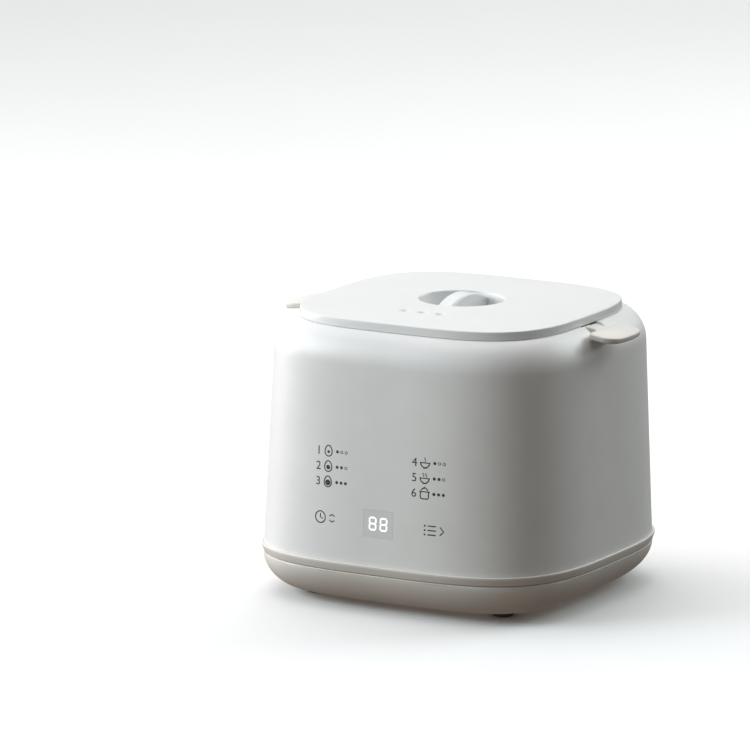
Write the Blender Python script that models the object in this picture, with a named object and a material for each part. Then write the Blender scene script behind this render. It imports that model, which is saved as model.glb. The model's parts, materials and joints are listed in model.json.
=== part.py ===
"""Egg cooker: a rounded-square countertop cooker with a lift-out pot, an egg rack and a clear lid.

Frame: +Z up, origin on the floor under the middle of the body, -Y towards the control face,
the pot's handles along X. Sizes are in millimetres and the meshes are built in metres.
Every outline is a superellipse |x/a|^n + |y/a|^n = 1, with n = 2 for a circle and larger n
for a squarer shape, so a piece is a skin over a stack of such rings.
"""

import math

import bmesh
import bpy
from mathutils import Matrix, Vector

MM = 0.001
GAP = 0.3  # between two pieces that touch
SEGMENTS = 40  # around the large rounded-square pieces
ROUND_SEGMENTS = 36  # around the large turned pieces
SMALL_SEGMENTS = 12  # around posts and other small turned pieces
SCREW_SEGMENTS = 8  # around screws; even, so that the cross recess has four arms
ROUND = 2.0  # the superellipse power of a circle

# Body heights and half-widths
TRIM_HALF = 88.0
TRIM_POWER = 3.48
BASE_BOTTOM_Z = 3.5
BASE_BOTTOM_HALF = 71.3
BASE_BOTTOM_POWER = 4.24
BASE_TOP_Z = 20.4
BASE_TOP_HALF = 86.8
BASE_WALL = 2.5
TRIM_TOP_Z = 25.1
HOUSING_BOTTOM_HALF = 86.7
HOUSING_WALL = 2.6
SHOULDER_Z = 123.9
SHOULDER_HALF = 82.7
SHOULDER_INSET = 15.8
SHOULDER_RISE = 17.6
LIP_HALF = 73.4
LIP_INNER_HALF = 68.6
LIP_UNDER_Z = 134.5
RIM_POWER = 3.5  # of the lip, the pot, the liner and the lid

# Pot, rack and lid
POT_FLANGE_HALF = 70.4
POT_FLANGE = 1.0
POT_WALL = 0.9
POT_BOTTOM_Z = 43.8
LID_HALF = 71.6
LID_RIM = 0.9  # thickness of the lid's rim, which drops round the pot's flange
LID_TOP_Z = 145.9
LID_FLOOR_Z = 131.1
RECESS_RADIUS = 21.4
GRIP_HALF_WIDTH = 4.2
GRIP_PEAK_Z = 148.7
GRIP_END_DROP = 5.4
VENT_PITCH = 9.9
VENT_Y = -41.5
RACK_Z = 70.5
RACK_HALF = 63.0
RACK_POWER = 3.4
RACK_THICKNESS = 2.0
EGG_SEATS = 6
EGG_SEAT_CIRCLE = 42.0
EGG_SEAT_RADIUS = 16.0
LEG_CIRCLE = 38.0

# Pot handles: a neck and a wider plate, sloping down outwards
HANDLE_START_X = 72.0
HANDLE_START_Z = 139.6
HANDLE_SLOPE = math.radians(7.0)
HANDLE_THICKNESS = 3.0
NECK_LENGTH = 7.1
NECK_HALF = 5.5
NECK_FILLET = 2.4
PLATE_END = 23.3
PLATE_HALF = 17.0
NOTCH_HALF = 7.4
NOTCH_FLOOR_Z = 135.45
TAB_START_X = 69.6  # the pot's two steel tabs inside the handles
TAB_LENGTH = 20.0
TAB_THICKNESS = 0.8
TAB_HALF = 3.8
RIVET_AT = 14.0  # from the handle's start

# Heating parts
PLATE_TOP_Z = 43.5
PLATE_UNDER_Z = 38.8
PLATE_RADIUS = 54.0
SENSOR_HOLE = 13.5
PLATE_BOSS_CIRCLE = 48.0
ELEMENT_CIRCLE = 38.0
ELEMENT_RADIUS = 3.8
ELEMENT_Z = 34.7
ELEMENT_GAP = math.radians(20)
TERMINAL_Z = 25.5
LINER_FLOOR_Z = 32.8
LINER_WALL = 0.8
BRACKET_Z = 24.5
STRAP = 1.2

# Fixings and electrics
FOOT_AT = 52.4
FOOT_RADIUS = 6.5
DISPLAY_Z = 46.5
WINDOW_WIDTH = 17.0
WINDOW_HEIGHT = 14.0
KEY_X = 31.0
CONTROL_BOARD_Y = -76.8
HOLDER_SCREW_X = 44.0
BOARD_TOP_Z = 12.1
BOARD_THICKNESS = 1.6
BOARD_Y = 20.0
BOARD_HALF = (44.0, 26.0)
INLET_Z = 44.5
INLET_FACE_Y = 87.8
LEAD_RADIUS = 1.2

FINISHES = {  # name: colour, roughness, metallic
    "white_shell": ((0.86, 0.86, 0.85), 0.42, 0.0),
    "cream_shell": ((0.80, 0.78, 0.72), 0.38, 0.0),
    "frosted_lid": ((0.86, 0.88, 0.87), 0.30, 0.0),
    "window_lens": ((0.70, 0.71, 0.70), 0.30, 0.0),
    "rubber_foot": ((0.07, 0.06, 0.06), 0.85, 0.0),
    "steel": ((0.66, 0.66, 0.65), 0.28, 1.0),
    "cast_aluminium": ((0.62, 0.62, 0.62), 0.50, 1.0),
    "dark_plastic": ((0.05, 0.05, 0.05), 0.45, 0.0),
    "board_green": ((0.05, 0.23, 0.12), 0.50, 0.0),
    "component_blue": ((0.08, 0.20, 0.50), 0.40, 0.0),
    "brass": ((0.72, 0.55, 0.25), 0.35, 1.0),
    "red_lead": ((0.55, 0.06, 0.05), 0.45, 0.0),
    "blue_lead": ((0.06, 0.14, 0.50), 0.45, 0.0),
    "green_lead": ((0.25, 0.50, 0.10), 0.45, 0.0),
}


# ---------------------------------------------------------------- tools


def clear_scene():
    for obj in list(bpy.data.objects):
        bpy.data.objects.remove(obj)


def finish(name):
    """The Principled material of that name."""
    material = bpy.data.materials.get(name)
    if material:
        return material
    colour, roughness, metallic = FINISHES[name]
    material = bpy.data.materials.new(name)
    material.use_nodes = True
    shader = material.node_tree.nodes["Principled BSDF"]
    shader.inputs["Base Color"].default_value = (*colour, 1.0)
    shader.inputs["Roughness"].default_value = roughness
    shader.inputs["Metallic"].default_value = metallic
    return material


def add(name, bm, material, at=(0, 0, 0), turn=(0, 0, 0), smooth=True):
    """An object from a bmesh in millimetres, placed at a point in millimetres."""
    bmesh.ops.recalc_face_normals(bm, faces=bm.faces[:])
    bmesh.ops.scale(bm, vec=(MM, MM, MM), verts=bm.verts[:])
    mesh = bpy.data.meshes.new(name)
    bm.to_mesh(mesh)
    bm.free()
    if smooth:
        mesh.shade_smooth()
        mesh.set_sharp_from_angle(angle=math.radians(35))
    mesh.materials.append(finish(material))
    obj = bpy.data.objects.new(name, mesh)
    obj.location = Vector(at) * MM
    obj.rotation_euler = turn
    bpy.context.scene.collection.objects.link(obj)
    return obj


def ring(half, power, z, segments=SEGMENTS):
    """The points of one superellipse outline."""
    points = []
    for i in range(segments):
        angle = 2 * math.pi * i / segments
        c, s = math.cos(angle), math.sin(angle)
        reach = half * (abs(c) ** power + abs(s) ** power) ** (-1 / power)
        points.append((reach * c, reach * s, z))
    return points


def cross_ring(radius, z, segments):
    """A four-lobed outline, for the recess in a screw's head."""
    points = []
    for i in range(segments):
        angle = 2 * math.pi * i / segments
        reach = radius * (0.45 + 0.55 * abs(math.cos(2 * angle)) ** 3)
        points.append((reach * math.cos(angle), reach * math.sin(angle), z))
    return points


def skin(rings, closed=False):
    """A bmesh over a stack of rings, closed on itself or capped at both ends."""
    bm = bmesh.new()
    rows = [[bm.verts.new(point) for point in points] for points in rings]
    pairs = list(zip(rows, rows[1:]))
    if closed:
        pairs.append((rows[-1], rows[0]))
    for low, high in pairs:
        for i in range(len(low)):
            j = (i + 1) % len(low)
            bm.faces.new((low[i], low[j], high[j], high[i]))
    if not closed:
        bm.faces.new(rows[0])
        bm.faces.new(rows[-1])
    return bm


def turned(profile, segments=SMALL_SEGMENTS, closed=False):
    """A bmesh turned about Z from (radius, z) points."""
    return skin([ring(r, ROUND, z, segments) for r, z in profile], closed)


def block(size):
    bm = bmesh.new()
    bmesh.ops.create_cube(bm, size=1.0)
    bmesh.ops.scale(bm, vec=size, verts=bm.verts[:])
    return bm


def prism(outline, low, high, axis="Z"):
    """A bmesh with a flat outline, drawn out along an axis from low to high."""
    place = {
        "X": lambda u, v, w: (w, u, v),
        "Y": lambda u, v, w: (u, w, v),
        "Z": lambda u, v, w: (u, v, w),
    }[axis]
    bm = bmesh.new()
    near = [bm.verts.new(place(u, v, low)) for u, v in outline]
    far = [bm.verts.new(place(u, v, high)) for u, v in outline]
    bm.faces.new(near)
    bm.faces.new(far)
    for i in range(len(outline)):
        j = (i + 1) % len(outline)
        bm.faces.new((near[i], near[j], far[j], far[i]))
    return bm


def strip_outline(path, thickness):
    """The outline of a bent strip of even thickness, whose one side follows a path."""
    normals = []
    for (ax, ay), (bx, by) in zip(path, path[1:]):
        length = math.hypot(bx - ax, by - ay)
        normals.append(((ay - by) / length, (bx - ax) / length))
    far = []
    for i, (x, y) in enumerate(path):
        before = normals[max(i - 1, 0)]
        after = normals[min(i, len(normals) - 1)]
        nx, ny = before[0] + after[0], before[1] + after[1]
        scale = 2 * thickness / (nx * nx + ny * ny)
        far.append((x + nx * scale, y + ny * scale))
    return list(path) + far[::-1]


def arc(centre, radius, start, end, steps):
    """Points of an arc, angles in degrees."""
    points = []
    for i in range(steps + 1):
        angle = math.radians(start + (end - start) * i / steps)
        points.append((centre[0] + radius * math.cos(angle), centre[1] + radius * math.sin(angle)))
    return points


def combine(obj, bm, operation, at=(0, 0, 0), turn=(0, 0, 0)):
    """Cuts a hidden shape from an object, or joins it on."""
    helper = add(f"{obj.name}_{operation.lower()}_{len(obj.modifiers)}", bm, "dark_plastic", at, turn)
    helper.hide_render = True
    helper.display_type = "WIRE"
    modifier = obj.modifiers.new(helper.name, "BOOLEAN")
    modifier.operation = operation
    modifier.object = helper
    return helper


def cut(obj, bm, at=(0, 0, 0), turn=(0, 0, 0)):
    return combine(obj, bm, "DIFFERENCE", at, turn)


def join(obj, bm, at=(0, 0, 0), turn=(0, 0, 0)):
    return combine(obj, bm, "UNION", at, turn)


def soften(obj, width, steps=2):
    """Rounds an object's edges."""
    modifier = obj.modifiers.new("rounded_edges", "BEVEL")
    modifier.width = width * MM
    modifier.segments = steps
    modifier.limit_method = "ANGLE"


def smooth_route(points, steps=5):
    """A Catmull-Rom curve through a route's own points."""
    route = [Vector(p) for p in points]
    padded = [2 * route[0] - route[1], *route, 2 * route[-1] - route[-2]]
    curve = []
    for a, b, c, d in zip(padded, padded[1:], padded[2:], padded[3:]):
        for i in range(steps):
            t = i / steps
            curve.append(
                0.5 * (2 * b + (c - a) * t + (2 * a - 5 * b + 4 * c - d) * t * t + (3 * b - a - 3 * c + d) * t**3)
            )
    curve.append(route[-1])
    return curve


def tube(name, points, radius, material, sides=2):
    """A round wire or tube along points in millimetres."""
    data = bpy.data.curves.new(name, "CURVE")
    data.dimensions = "3D"
    data.bevel_depth = radius * MM
    data.bevel_resolution = sides
    data.use_fill_caps = True
    spline = data.splines.new("POLY")
    spline.points.add(len(points) - 1)
    for slot, point in zip(spline.points, points):
        slot.co = (*(Vector(point) * MM), 1.0)
    data.materials.append(finish(material))
    obj = bpy.data.objects.new(name, data)
    bpy.context.scene.collection.objects.link(obj)
    return obj


def helix(radius, low, high, turns, per_turn=9):
    """Points of a coil about Z."""
    count = round(turns * per_turn)
    points = []
    for i in range(count + 1):
        angle = 2 * math.pi * i / per_turn
        points.append((radius * math.cos(angle), radius * math.sin(angle), low + (high - low) * i / count))
    return points


def moving_group(name, height, pieces):
    """An empty on a joint's axis, and the pieces that move with it."""
    empty = bpy.data.objects.new(name, None)
    empty.location = (0, 0, height * MM)
    bpy.context.scene.collection.objects.link(empty)
    for piece in pieces:
        piece.parent = empty
        piece.matrix_parent_inverse = Matrix.Translation((0, 0, -height * MM))
    return empty


def corners(reach):
    return [(sx * reach, sy * reach) for sx in (-1, 1) for sy in (-1, 1)]


def screw(name, at, turn, shank, length, head, material="steel"):
    """A pan-head screw along -Z from its head, with a cross recess. Its origin is under the head."""
    head_height = head * 0.7
    n = SCREW_SEGMENTS
    rings = [
        ring(shank * 0.3, ROUND, -length, n),
        ring(shank, ROUND, -length + shank * 1.4, n),
        ring(shank, ROUND, 0, n),
        ring(head, ROUND, 0, n),
        ring(head, ROUND, head_height * 0.5, n),
        ring(head * 0.66, ROUND, head_height, n),
        cross_ring(head * 0.58, head_height, n),
        cross_ring(head * 0.42, head_height * 0.35, n),
    ]
    return add(name, skin(rings), material, at, turn)


# ---------------------------------------------------------------- body


def shoulder_half(z):
    """The housing's outer half-width where it curves in above the shoulder line."""
    rise = (z - SHOULDER_Z) / SHOULDER_RISE
    return SHOULDER_HALF - SHOULDER_INSET * (1 - math.sqrt(1 - rise * rise))


def lip_angle():
    """How far round the shoulder's quarter ellipse the lip is."""
    return math.acos(1 - (SHOULDER_HALF - LIP_HALF) / SHOULDER_INSET)


def lip_z():
    return SHOULDER_Z + SHOULDER_RISE * math.sin(lip_angle())


def housing_shell():
    """The housing's wall without its openings: up the outside, over the lip and down the inside."""
    rings = [
        ring(HOUSING_BOTTOM_HALF, TRIM_POWER, TRIM_TOP_Z + GAP),
        ring(84.9, TRIM_POWER, 68.5),
        ring(83.5, TRIM_POWER, 101.5),
    ]
    steps = 5
    for i in range(steps + 1):
        share = i / steps
        angle = lip_angle() * share
        half = SHOULDER_HALF - SHOULDER_INSET * (1 - math.cos(angle))
        rings.append(ring(half, TRIM_POWER, SHOULDER_Z + SHOULDER_RISE * math.sin(angle)))
    rings += [
        ring(LIP_INNER_HALF + 0.5, RIM_POWER, lip_z()),
        ring(LIP_INNER_HALF, RIM_POWER, lip_z() - 0.5),
        ring(LIP_INNER_HALF, RIM_POWER, LIP_UNDER_Z),
        ring(shoulder_half(LIP_UNDER_Z) - HOUSING_WALL, TRIM_POWER, LIP_UNDER_Z),
        ring(shoulder_half(130.0) - HOUSING_WALL, TRIM_POWER, 130.0),
        ring(SHOULDER_HALF - HOUSING_WALL, TRIM_POWER, SHOULDER_Z),
        ring(HOUSING_BOTTOM_HALF - HOUSING_WALL, TRIM_POWER, TRIM_TOP_Z + GAP),
    ]
    return skin(rings, closed=True)


def make_housing():
    housing = add("housing", housing_shell(), "white_shell")
    rib_mid = 86.0
    for x, y in corners(FOOT_AT):
        facing = math.atan2(y, x)
        join(housing, turned([(4.6, 18.8), (4.6, 32.5)]), (x, y, 0))
        middle = (rib_mid * math.cos(facing), rib_mid * math.sin(facing), 30.5)
        join(housing, block((23.6, 2.4, 4.0)), middle, (0, 0, facing))
        cut(housing, turned([(1.9, 16.5), (1.9, 30.5)]), (x, y, 0))
    for x in (-HOLDER_SCREW_X, HOLDER_SCREW_X):
        join(housing, turned([(3.0, -82.0), (3.0, -75.2)]), (x, 0, DISPLAY_Z), (-math.pi / 2, 0, 0))
        cut(housing, turned([(1.5, -80.6), (1.5, -70.0)]), (x, 0, DISPLAY_Z), (-math.pi / 2, 0, 0))
    cut(housing, block((WINDOW_WIDTH, 20, WINDOW_HEIGHT)), (0, -84, DISPLAY_Z))
    cut(housing, block((28.0, 20, 21.0)), (0, 84, INLET_Z))
    notch = block((12.0, 2 * NOTCH_HALF, 10.0))
    cut(housing, notch.copy(), (74.0, 0, NOTCH_FLOOR_Z + 5))
    cut(housing, notch, (-74.0, 0, NOTCH_FLOOR_Z + 5))
    return housing


def make_window():
    """The display's lens: the patch of the front wall inside its opening."""
    window = add("display_window", housing_shell(), "window_lens")
    patch = block((WINDOW_WIDTH - 2 * GAP, 20, WINDOW_HEIGHT - 2 * GAP))
    combine(window, patch, "INTERSECT", (0, -84, DISPLAY_Z))
    return window


def make_trim_ring():
    """The band round the foot of the housing, with a lip that stands proud and an upstand inside."""
    low = BASE_TOP_Z + GAP
    rings = [
        ring(TRIM_HALF - 1.1, TRIM_POWER, low),
        ring(TRIM_HALF - 0.1, TRIM_POWER, TRIM_TOP_Z - 0.7),
        ring(TRIM_HALF, TRIM_POWER, TRIM_TOP_Z - 0.4),
        ring(TRIM_HALF - 0.35, TRIM_POWER, TRIM_TOP_Z),
        ring(83.8, TRIM_POWER, TRIM_TOP_Z),
        ring(83.6, TRIM_POWER, 27.5),
        ring(81.8, TRIM_POWER, 27.5),
        ring(81.8, TRIM_POWER, low),
    ]
    return add("trim_ring", skin(rings, closed=True), "cream_shell")


def base_profile(steps, inset):
    """(half, power, z) down the base's bowl-shaped side, moved in by an inset."""
    roundness = 1.31
    stations = []
    for i in range(steps + 1):
        angle = math.pi / 2 * i / steps
        reach = max(math.cos(angle), 0.0) ** roundness
        drop = math.sin(angle) ** roundness
        half = BASE_BOTTOM_HALF + (BASE_TOP_HALF - BASE_BOTTOM_HALF) * reach
        power = TRIM_POWER + (BASE_BOTTOM_POWER - TRIM_POWER) * drop
        z = BASE_TOP_Z - (BASE_TOP_Z - BASE_BOTTOM_Z - inset) * drop
        stations.append((half - inset, power, z))
    return stations


def make_base_cover():
    outside = [ring(*s) for s in reversed(base_profile(6, 0.0))]
    inside = [ring(*s) for s in base_profile(4, BASE_WALL)]
    base = add("base_cover", skin(outside + inside), "cream_shell")
    for x, y in corners(FOOT_AT):
        join(base, turned([(5.4, 4.5), (5.4, 18.5)]), (x, y, 0))
        cut(base, turned([(FOOT_RADIUS + GAP, 1.5), (FOOT_RADIUS + GAP, 5.0)]), (x, y, 0))
        cut(base, turned([(3.7, 4.5), (3.7, 8.8)]), (x, y, 0))
        cut(base, turned([(2.0, 8.5), (2.0, 20.5)]), (x, y, 0))
    for sx in (-1, 1):
        for sy in (-1, 1):
            post = (sx * (BOARD_HALF[0] - 4), BOARD_Y + sy * (BOARD_HALF[1] - 4), 0)
            join(base, turned([(3.0, 5.5), (3.0, BOARD_TOP_Z - BOARD_THICKNESS - GAP)]), post)
    for i in range(-2, 3):
        cut(base, block((30.0, 3.0, 6.0)), (0, -30 + 7 * i, 4.5))
    for x, y in board_screw_places():
        cut(base, turned([(1.4, 7.5), (1.4, 11.5)]), (x, y, 0))
    return base


def board_screw_places():
    dx, dy = BOARD_HALF[0] - 4, BOARD_HALF[1] - 4
    return [(-dx, BOARD_Y + dy), (dx, BOARD_Y - dy)]


def make_feet_and_base_screws():
    foot = [(3.2, 5.7), (3.2, 4.7), (FOOT_RADIUS - 0.2, 4.7), (FOOT_RADIUS, 4.1), (FOOT_RADIUS, 2.0)]
    foot += [(FOOT_RADIUS - 0.8, 0.6), (FOOT_RADIUS - 2.0, 0.0)]
    names = {-1: {-1: "front_left", 1: "rear_left"}, 1: {-1: "front_right", 1: "rear_right"}}
    for x, y in corners(FOOT_AT):
        place = names[round(x / FOOT_AT)][round(y / FOOT_AT)]
        add(f"foot_{place}", turned(foot, 16), "rubber_foot", (x, y, 0))
        screw(f"base_screw_{place}", (x, y, 8.4), (math.pi, 0, 0), 1.6, 20.0, 3.3)


# ---------------------------------------------------------------- heating


def make_liner():
    """The steel heat shield round the pot, hung under the housing's lip, with a round floor opening."""
    top = LIP_UNDER_Z - GAP
    w = LINER_WALL
    rings = [
        ring(76.0, RIM_POWER, top),
        ring(76.0, RIM_POWER, top - w),
        ring(70.2, RIM_POWER, top - w),
        ring(66.6, RIM_POWER, 42.5),
        ring(65.0, RIM_POWER, 35.5),
        ring(62.4, RIM_POWER, LINER_FLOOR_Z),
        ring(43.5, ROUND, LINER_FLOOR_Z),
        ring(43.5, ROUND, LINER_FLOOR_Z + w),
        ring(62.0, RIM_POWER, LINER_FLOOR_Z + w),
        ring(64.2, RIM_POWER, 36.0),
        ring(65.8, RIM_POWER, 42.7),
        ring(69.4, RIM_POWER, top),
    ]
    liner = add("inner_liner", skin(rings, closed=True), "steel")
    for x, y in plate_screw_places():
        cut(liner, turned([(1.9, 31.5), (1.9, 35.5)]), (x, y, 0))
    return liner


def plate_screw_places():
    angles = [math.radians(a) for a in (93, 213, 333)]
    return [(PLATE_BOSS_CIRCLE * math.cos(a), PLATE_BOSS_CIRCLE * math.sin(a)) for a in angles]


def make_heating_plate():
    profile = [
        (SENSOR_HOLE, PLATE_UNDER_Z),
        (PLATE_RADIUS - 1.5, PLATE_UNDER_Z),
        (PLATE_RADIUS, PLATE_UNDER_Z + 1.2),
        (PLATE_RADIUS, PLATE_TOP_Z - 1.2),
        (PLATE_RADIUS - 1.5, PLATE_TOP_Z),
        (SENSOR_HOLE + 0.6, PLATE_TOP_Z),
        (SENSOR_HOLE, PLATE_TOP_Z - 0.6),
    ]
    plate = add("heating_plate", turned(profile, ROUND_SEGMENTS, closed=True), "cast_aluminium")
    for i, (x, y) in enumerate(plate_screw_places()):
        join(plate, turned([(4.0, LINER_FLOOR_Z + LINER_WALL + GAP), (4.0, PLATE_UNDER_Z + 1)]), (x, y, 0))
        cut(plate, turned([(1.8, 32.5), (1.8, 41.3)]), (x, y, 0))
        screw(f"plate_screw_{i + 1}", (x, y, LINER_FLOOR_Z - GAP), (math.pi, 0, 0), 1.5, 8.2, 2.9)
    return plate


def make_heating_element():
    """A tubular heater under the plate, with both ends turned down as terminals."""
    start, end = ELEMENT_GAP, 2 * math.pi - ELEMENT_GAP
    steps = 36
    ring_points = []
    for i in range(steps + 1):
        angle = start + (end - start) * i / steps
        ring_points.append((ELEMENT_CIRCLE * math.cos(angle), ELEMENT_CIRCLE * math.sin(angle), ELEMENT_Z))
    x, y, _ = ring_points[0]
    bend = 4.6
    first = [(x + 0.8, y - bend, TERMINAL_Z), (x + 0.8, y - bend, 30.9), (x + 0.5, y - 3.4, ELEMENT_Z - 1.2)]
    last = [(px, -py, pz) for px, py, pz in reversed(first)]
    tube("heating_element", first + ring_points + last, ELEMENT_RADIUS, "steel", sides=2)


def make_sensor():
    """The sprung temperature sensor that the pot presses on, in its bracket under the plate."""
    legs = 19.0
    path = [(legs + 5, PLATE_UNDER_Z - GAP), (legs, PLATE_UNDER_Z - GAP), (legs, BRACKET_Z + STRAP)]
    path += [(-legs, BRACKET_Z + STRAP), (-legs, PLATE_UNDER_Z - GAP), (-legs - 5, PLATE_UNDER_Z - GAP)]
    bracket = add("sensor_bracket", prism(strip_outline(path, STRAP), -7, 7, "Y"), "steel", smooth=False)
    cut(bracket, turned([(3.0, 16.5), (3.0, 30.5)]))

    cap_profile = [(11.0, 36.5), (11.0, 42.3), (10.0, PLATE_TOP_Z)]
    under = [(9.2, 42.5), (10.1, 41.7), (10.1, 36.5)]
    cap = add("sensor_cap", sensor_cap_mesh(cap_profile, under), "cast_aluminium")
    stem_profile = [(2.0, 20.1), (2.6, 20.9), (2.6, 39.9), (8.6, 39.9), (8.6, 41.5), (7.8, 42.2)]
    stem = add("sensor_stem", turned(stem_profile), "dark_plastic")
    wire = 0.6
    coil = helix(5.0, BRACKET_Z + STRAP + GAP + wire, 39.9 - GAP - wire, 5)
    spring = tube("sensor_spring", coil, wire, "steel", sides=1)
    moving_group("sensor_travel", PLATE_TOP_Z, [cap, stem, spring])


def sensor_cap_mesh(outside, inside):
    """An inverted cup: from its top down the outside, then up the inside to its roof."""
    profile = outside[::-1] + inside[::-1]
    return skin([ring(r, ROUND, z, 24) for r, z in profile])


def make_thermal_fuse():
    body = turned([(1.4, -7.0), (2.2, -6.2), (2.2, 6.2), (1.4, 7.0)])
    add("thermal_fuse", body, "cast_aluminium", (0, -25, 35.9), (0, math.pi / 2, 0))
    radius = 2.2 + GAP
    wrap = arc((-25, 35.9), radius, 0, -180, 8)
    path = [(-16.5, 37.7), (-25 + radius, 37.7), *wrap, (-25 - radius, 37.7)]
    path.append((-33.0, 37.7))
    add("fuse_clip", prism(strip_outline(path[::-1], -0.8), -3, 3, "X"), "steel", smooth=False)


# ---------------------------------------------------------------- electrics


def make_power_board():
    size = (2 * BOARD_HALF[0], 2 * BOARD_HALF[1], BOARD_THICKNESS)
    at = (0, BOARD_Y, BOARD_TOP_Z - BOARD_THICKNESS / 2)
    board = add("power_board", block(size), "board_green", at, smooth=False)
    for i, (x, y) in enumerate(board_screw_places()):
        cut(board, turned([(1.6, 8.5), (1.6, 13.5)]), (x, y, 0))
        screw(f"board_screw_{i + 1}", (x, y, BOARD_TOP_Z + GAP), (0, 0, 0), 1.2, 4.6, 2.4)

    top = BOARD_TOP_Z + GAP
    core = add("transformer", block((20, 16, 5)), "component_blue", (-26, 32, top + 5.5), smooth=False)
    join(core, block((12, 19, 11)), (-26, 32, top + 5.5))
    join(core, block((20, 15.6, 3)), (-26, 32, top + 9.0))
    relay = add("relay", block((19, 15.5, 15)), "component_blue", (24, 32, top + 7.5), smooth=False)
    soften(relay, 0.8, 1)
    film = add("film_capacitor", block((17.5, 8, 13)), "brass", (18, 14, top + 6.5), smooth=False)
    soften(film, 1.0, 1)
    can = [(4.6, 0), (5.0, 0.5), (5.0, 1.6), (4.6, 2.2), (5.0, 2.8), (5.0, 14.4), (4.5, 15.0)]
    add("smoothing_capacitor", turned(can), "dark_plastic", (0, 36, top))
    terminals = add("terminal_block", block((20, 9, 9)), "white_shell", (-28, 6, top + 4.5), smooth=False)
    for x in (-33.0, -23.0):
        cut(terminals, turned([(1.8, 16.5), (1.8, 26.5)]), (x, 6, 0))


def make_control_board():
    board_size = (76, BOARD_THICKNESS, 24)
    y = CONTROL_BOARD_Y
    add("control_board", block(board_size), "board_green", (0, y + 0.8, DISPLAY_Z), smooth=False)
    module = add("display_module", block((15, 4.9, 10)), "dark_plastic", (0, y - GAP - 2.45, DISPLAY_Z))
    soften(module, 0.5, 1)
    back = y + BOARD_THICKNESS + GAP
    add("control_chip", block((7, 1.2, 7)), "dark_plastic", (14, back + 0.6, DISPLAY_Z), smooth=False)
    holder = add("board_holder", block((100, 2.4, 28)), "dark_plastic", (0, back + 1.2, DISPLAY_Z))
    cut(holder, block((60, 10, 17)), (0, back + 1.2, DISPLAY_Z))
    for side, x in (("left", -HOLDER_SCREW_X), ("right", HOLDER_SCREW_X)):
        cut(holder, turned([(1.6, -80.0), (1.6, -70.0)]), (x, 0, DISPLAY_Z), (-math.pi / 2, 0, 0))
        screw(f"holder_screw_{side}", (x, back + 2.4 + GAP, DISPLAY_Z), (-math.pi / 2, 0, 0), 1.2, 6.6, 2.4)
    for side, x in (("left", -KEY_X), ("right", KEY_X)):
        points = helix(3.6, 0, 4.0, 3.5)
        turn = Matrix.Rotation(math.pi / 2, 4, "X")
        shift = Vector((x, y - GAP - 0.4, DISPLAY_Z))
        tube(f"touch_spring_{side}", [turn @ Vector(p) + shift for p in points], 0.4, "brass", sides=1)


def make_ribbon_cable():
    """The flat cable from the control board down the front and under the liner to the power board."""
    route = [(-74.6, 43.5), (-71.6, 42.5), (-70.6, 38.5), (-70.8, 26.5), (-68.0, 20.5), (-60.0, 17.5)]
    route += [(-20.0, 16.0), (-12.0, 15.5), (-7.5, 14.0)]
    curve = [(p.x, p.y) for p in smooth_route([(a, b, 0) for a, b in route], 3)]
    add("ribbon_cable", prism(strip_outline(curve, 0.9), -16, -4, "X"), "dark_plastic")


def make_inlet():
    """The socket at the back that a mains lead plugs into, with three pins."""
    depth = 16.3
    middle_y = INLET_FACE_Y - depth / 2
    inlet = add("power_inlet", block((27.4, depth, 20.4)), "dark_plastic", (0, middle_y, INLET_Z), smooth=False)
    join(inlet, block((33, 1.0, 26)), (0, INLET_FACE_Y - 0.5, INLET_Z))
    cut(inlet, block((23.4, 20, 16.4)), (0, INLET_FACE_Y - 12.3 + 10, INLET_Z))
    pins = {"live": (-7.0, -2.0), "neutral": (7.0, -2.0), "earth": (0.0, 2.5)}
    for name, (x, dz) in pins.items():
        cut(inlet, block((2.6, 12, 4.6)), (x, INLET_FACE_Y - depth, INLET_Z + dz))
        pin = add(f"inlet_pin_{name}", block((2, 15, 4)), "brass", (x, 77.6, INLET_Z + dz), smooth=False)
        soften(pin, 0.4, 1)


def make_leads():
    routes = {
        "live_lead": ("red_lead", [(-7, 68.8, 42.5), (-8, 68.8, 31.5), (-16, 63, 23.5), (-38, 52, 20.5)]
                      + [(-43, 36, 19.5), (-41, 18, 21.5), (-34.5, 8.5, 25.5), (-33, 6, 23), (-33, 6, 19.5)]),
        "neutral_lead": ("blue_lead", [(7, 68.8, 42.5), (6, 68.8, 31.5), (-2, 61, 23.5), (-10, 50, 20.5)]
                         + [(-11, 30, 18.5), (-14, 16, 21.5), (-21.5, 8.0, 25.5), (-23, 6, 23), (-23, 6, 19.5)]),
        "earth_lead": ("green_lead", [(0, 68.8, 47), (0, 68.8, 37.5), (0, 66.5, 30.5), (0, 58, 30), (0, 52.5, 31.1)]),
        "heater_lead_a": ("red_lead", [(36.5, 8.4, 25), (37.5, 9, 21.5), (42, 18, 17.5), (41, 28, 16.5), (34.2, 32, 16.5)]),
        "heater_lead_b": ("blue_lead", [(36.5, -8.4, 25), (36.5, -9, 20.5), (33, -7, 16.5), (24, 0, 15.5), (18, 9.0, 16.5)]),
        "sensor_lead": ("dark_plastic", [(7, -2, 22.9), (9, -14, 21.5), (9, -40, 20.5), (8, -60, 22.5), (6, -68.5, 29.5)]
                        + [(6, -70.4, 38.5), (6, -74.3, 43.5)]),
    }
    for name, (material, route) in routes.items():
        tube(name, smooth_route(route, 3), LEAD_RADIUS, material, sides=1)


# ---------------------------------------------------------------- pot, rack and lid


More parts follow.
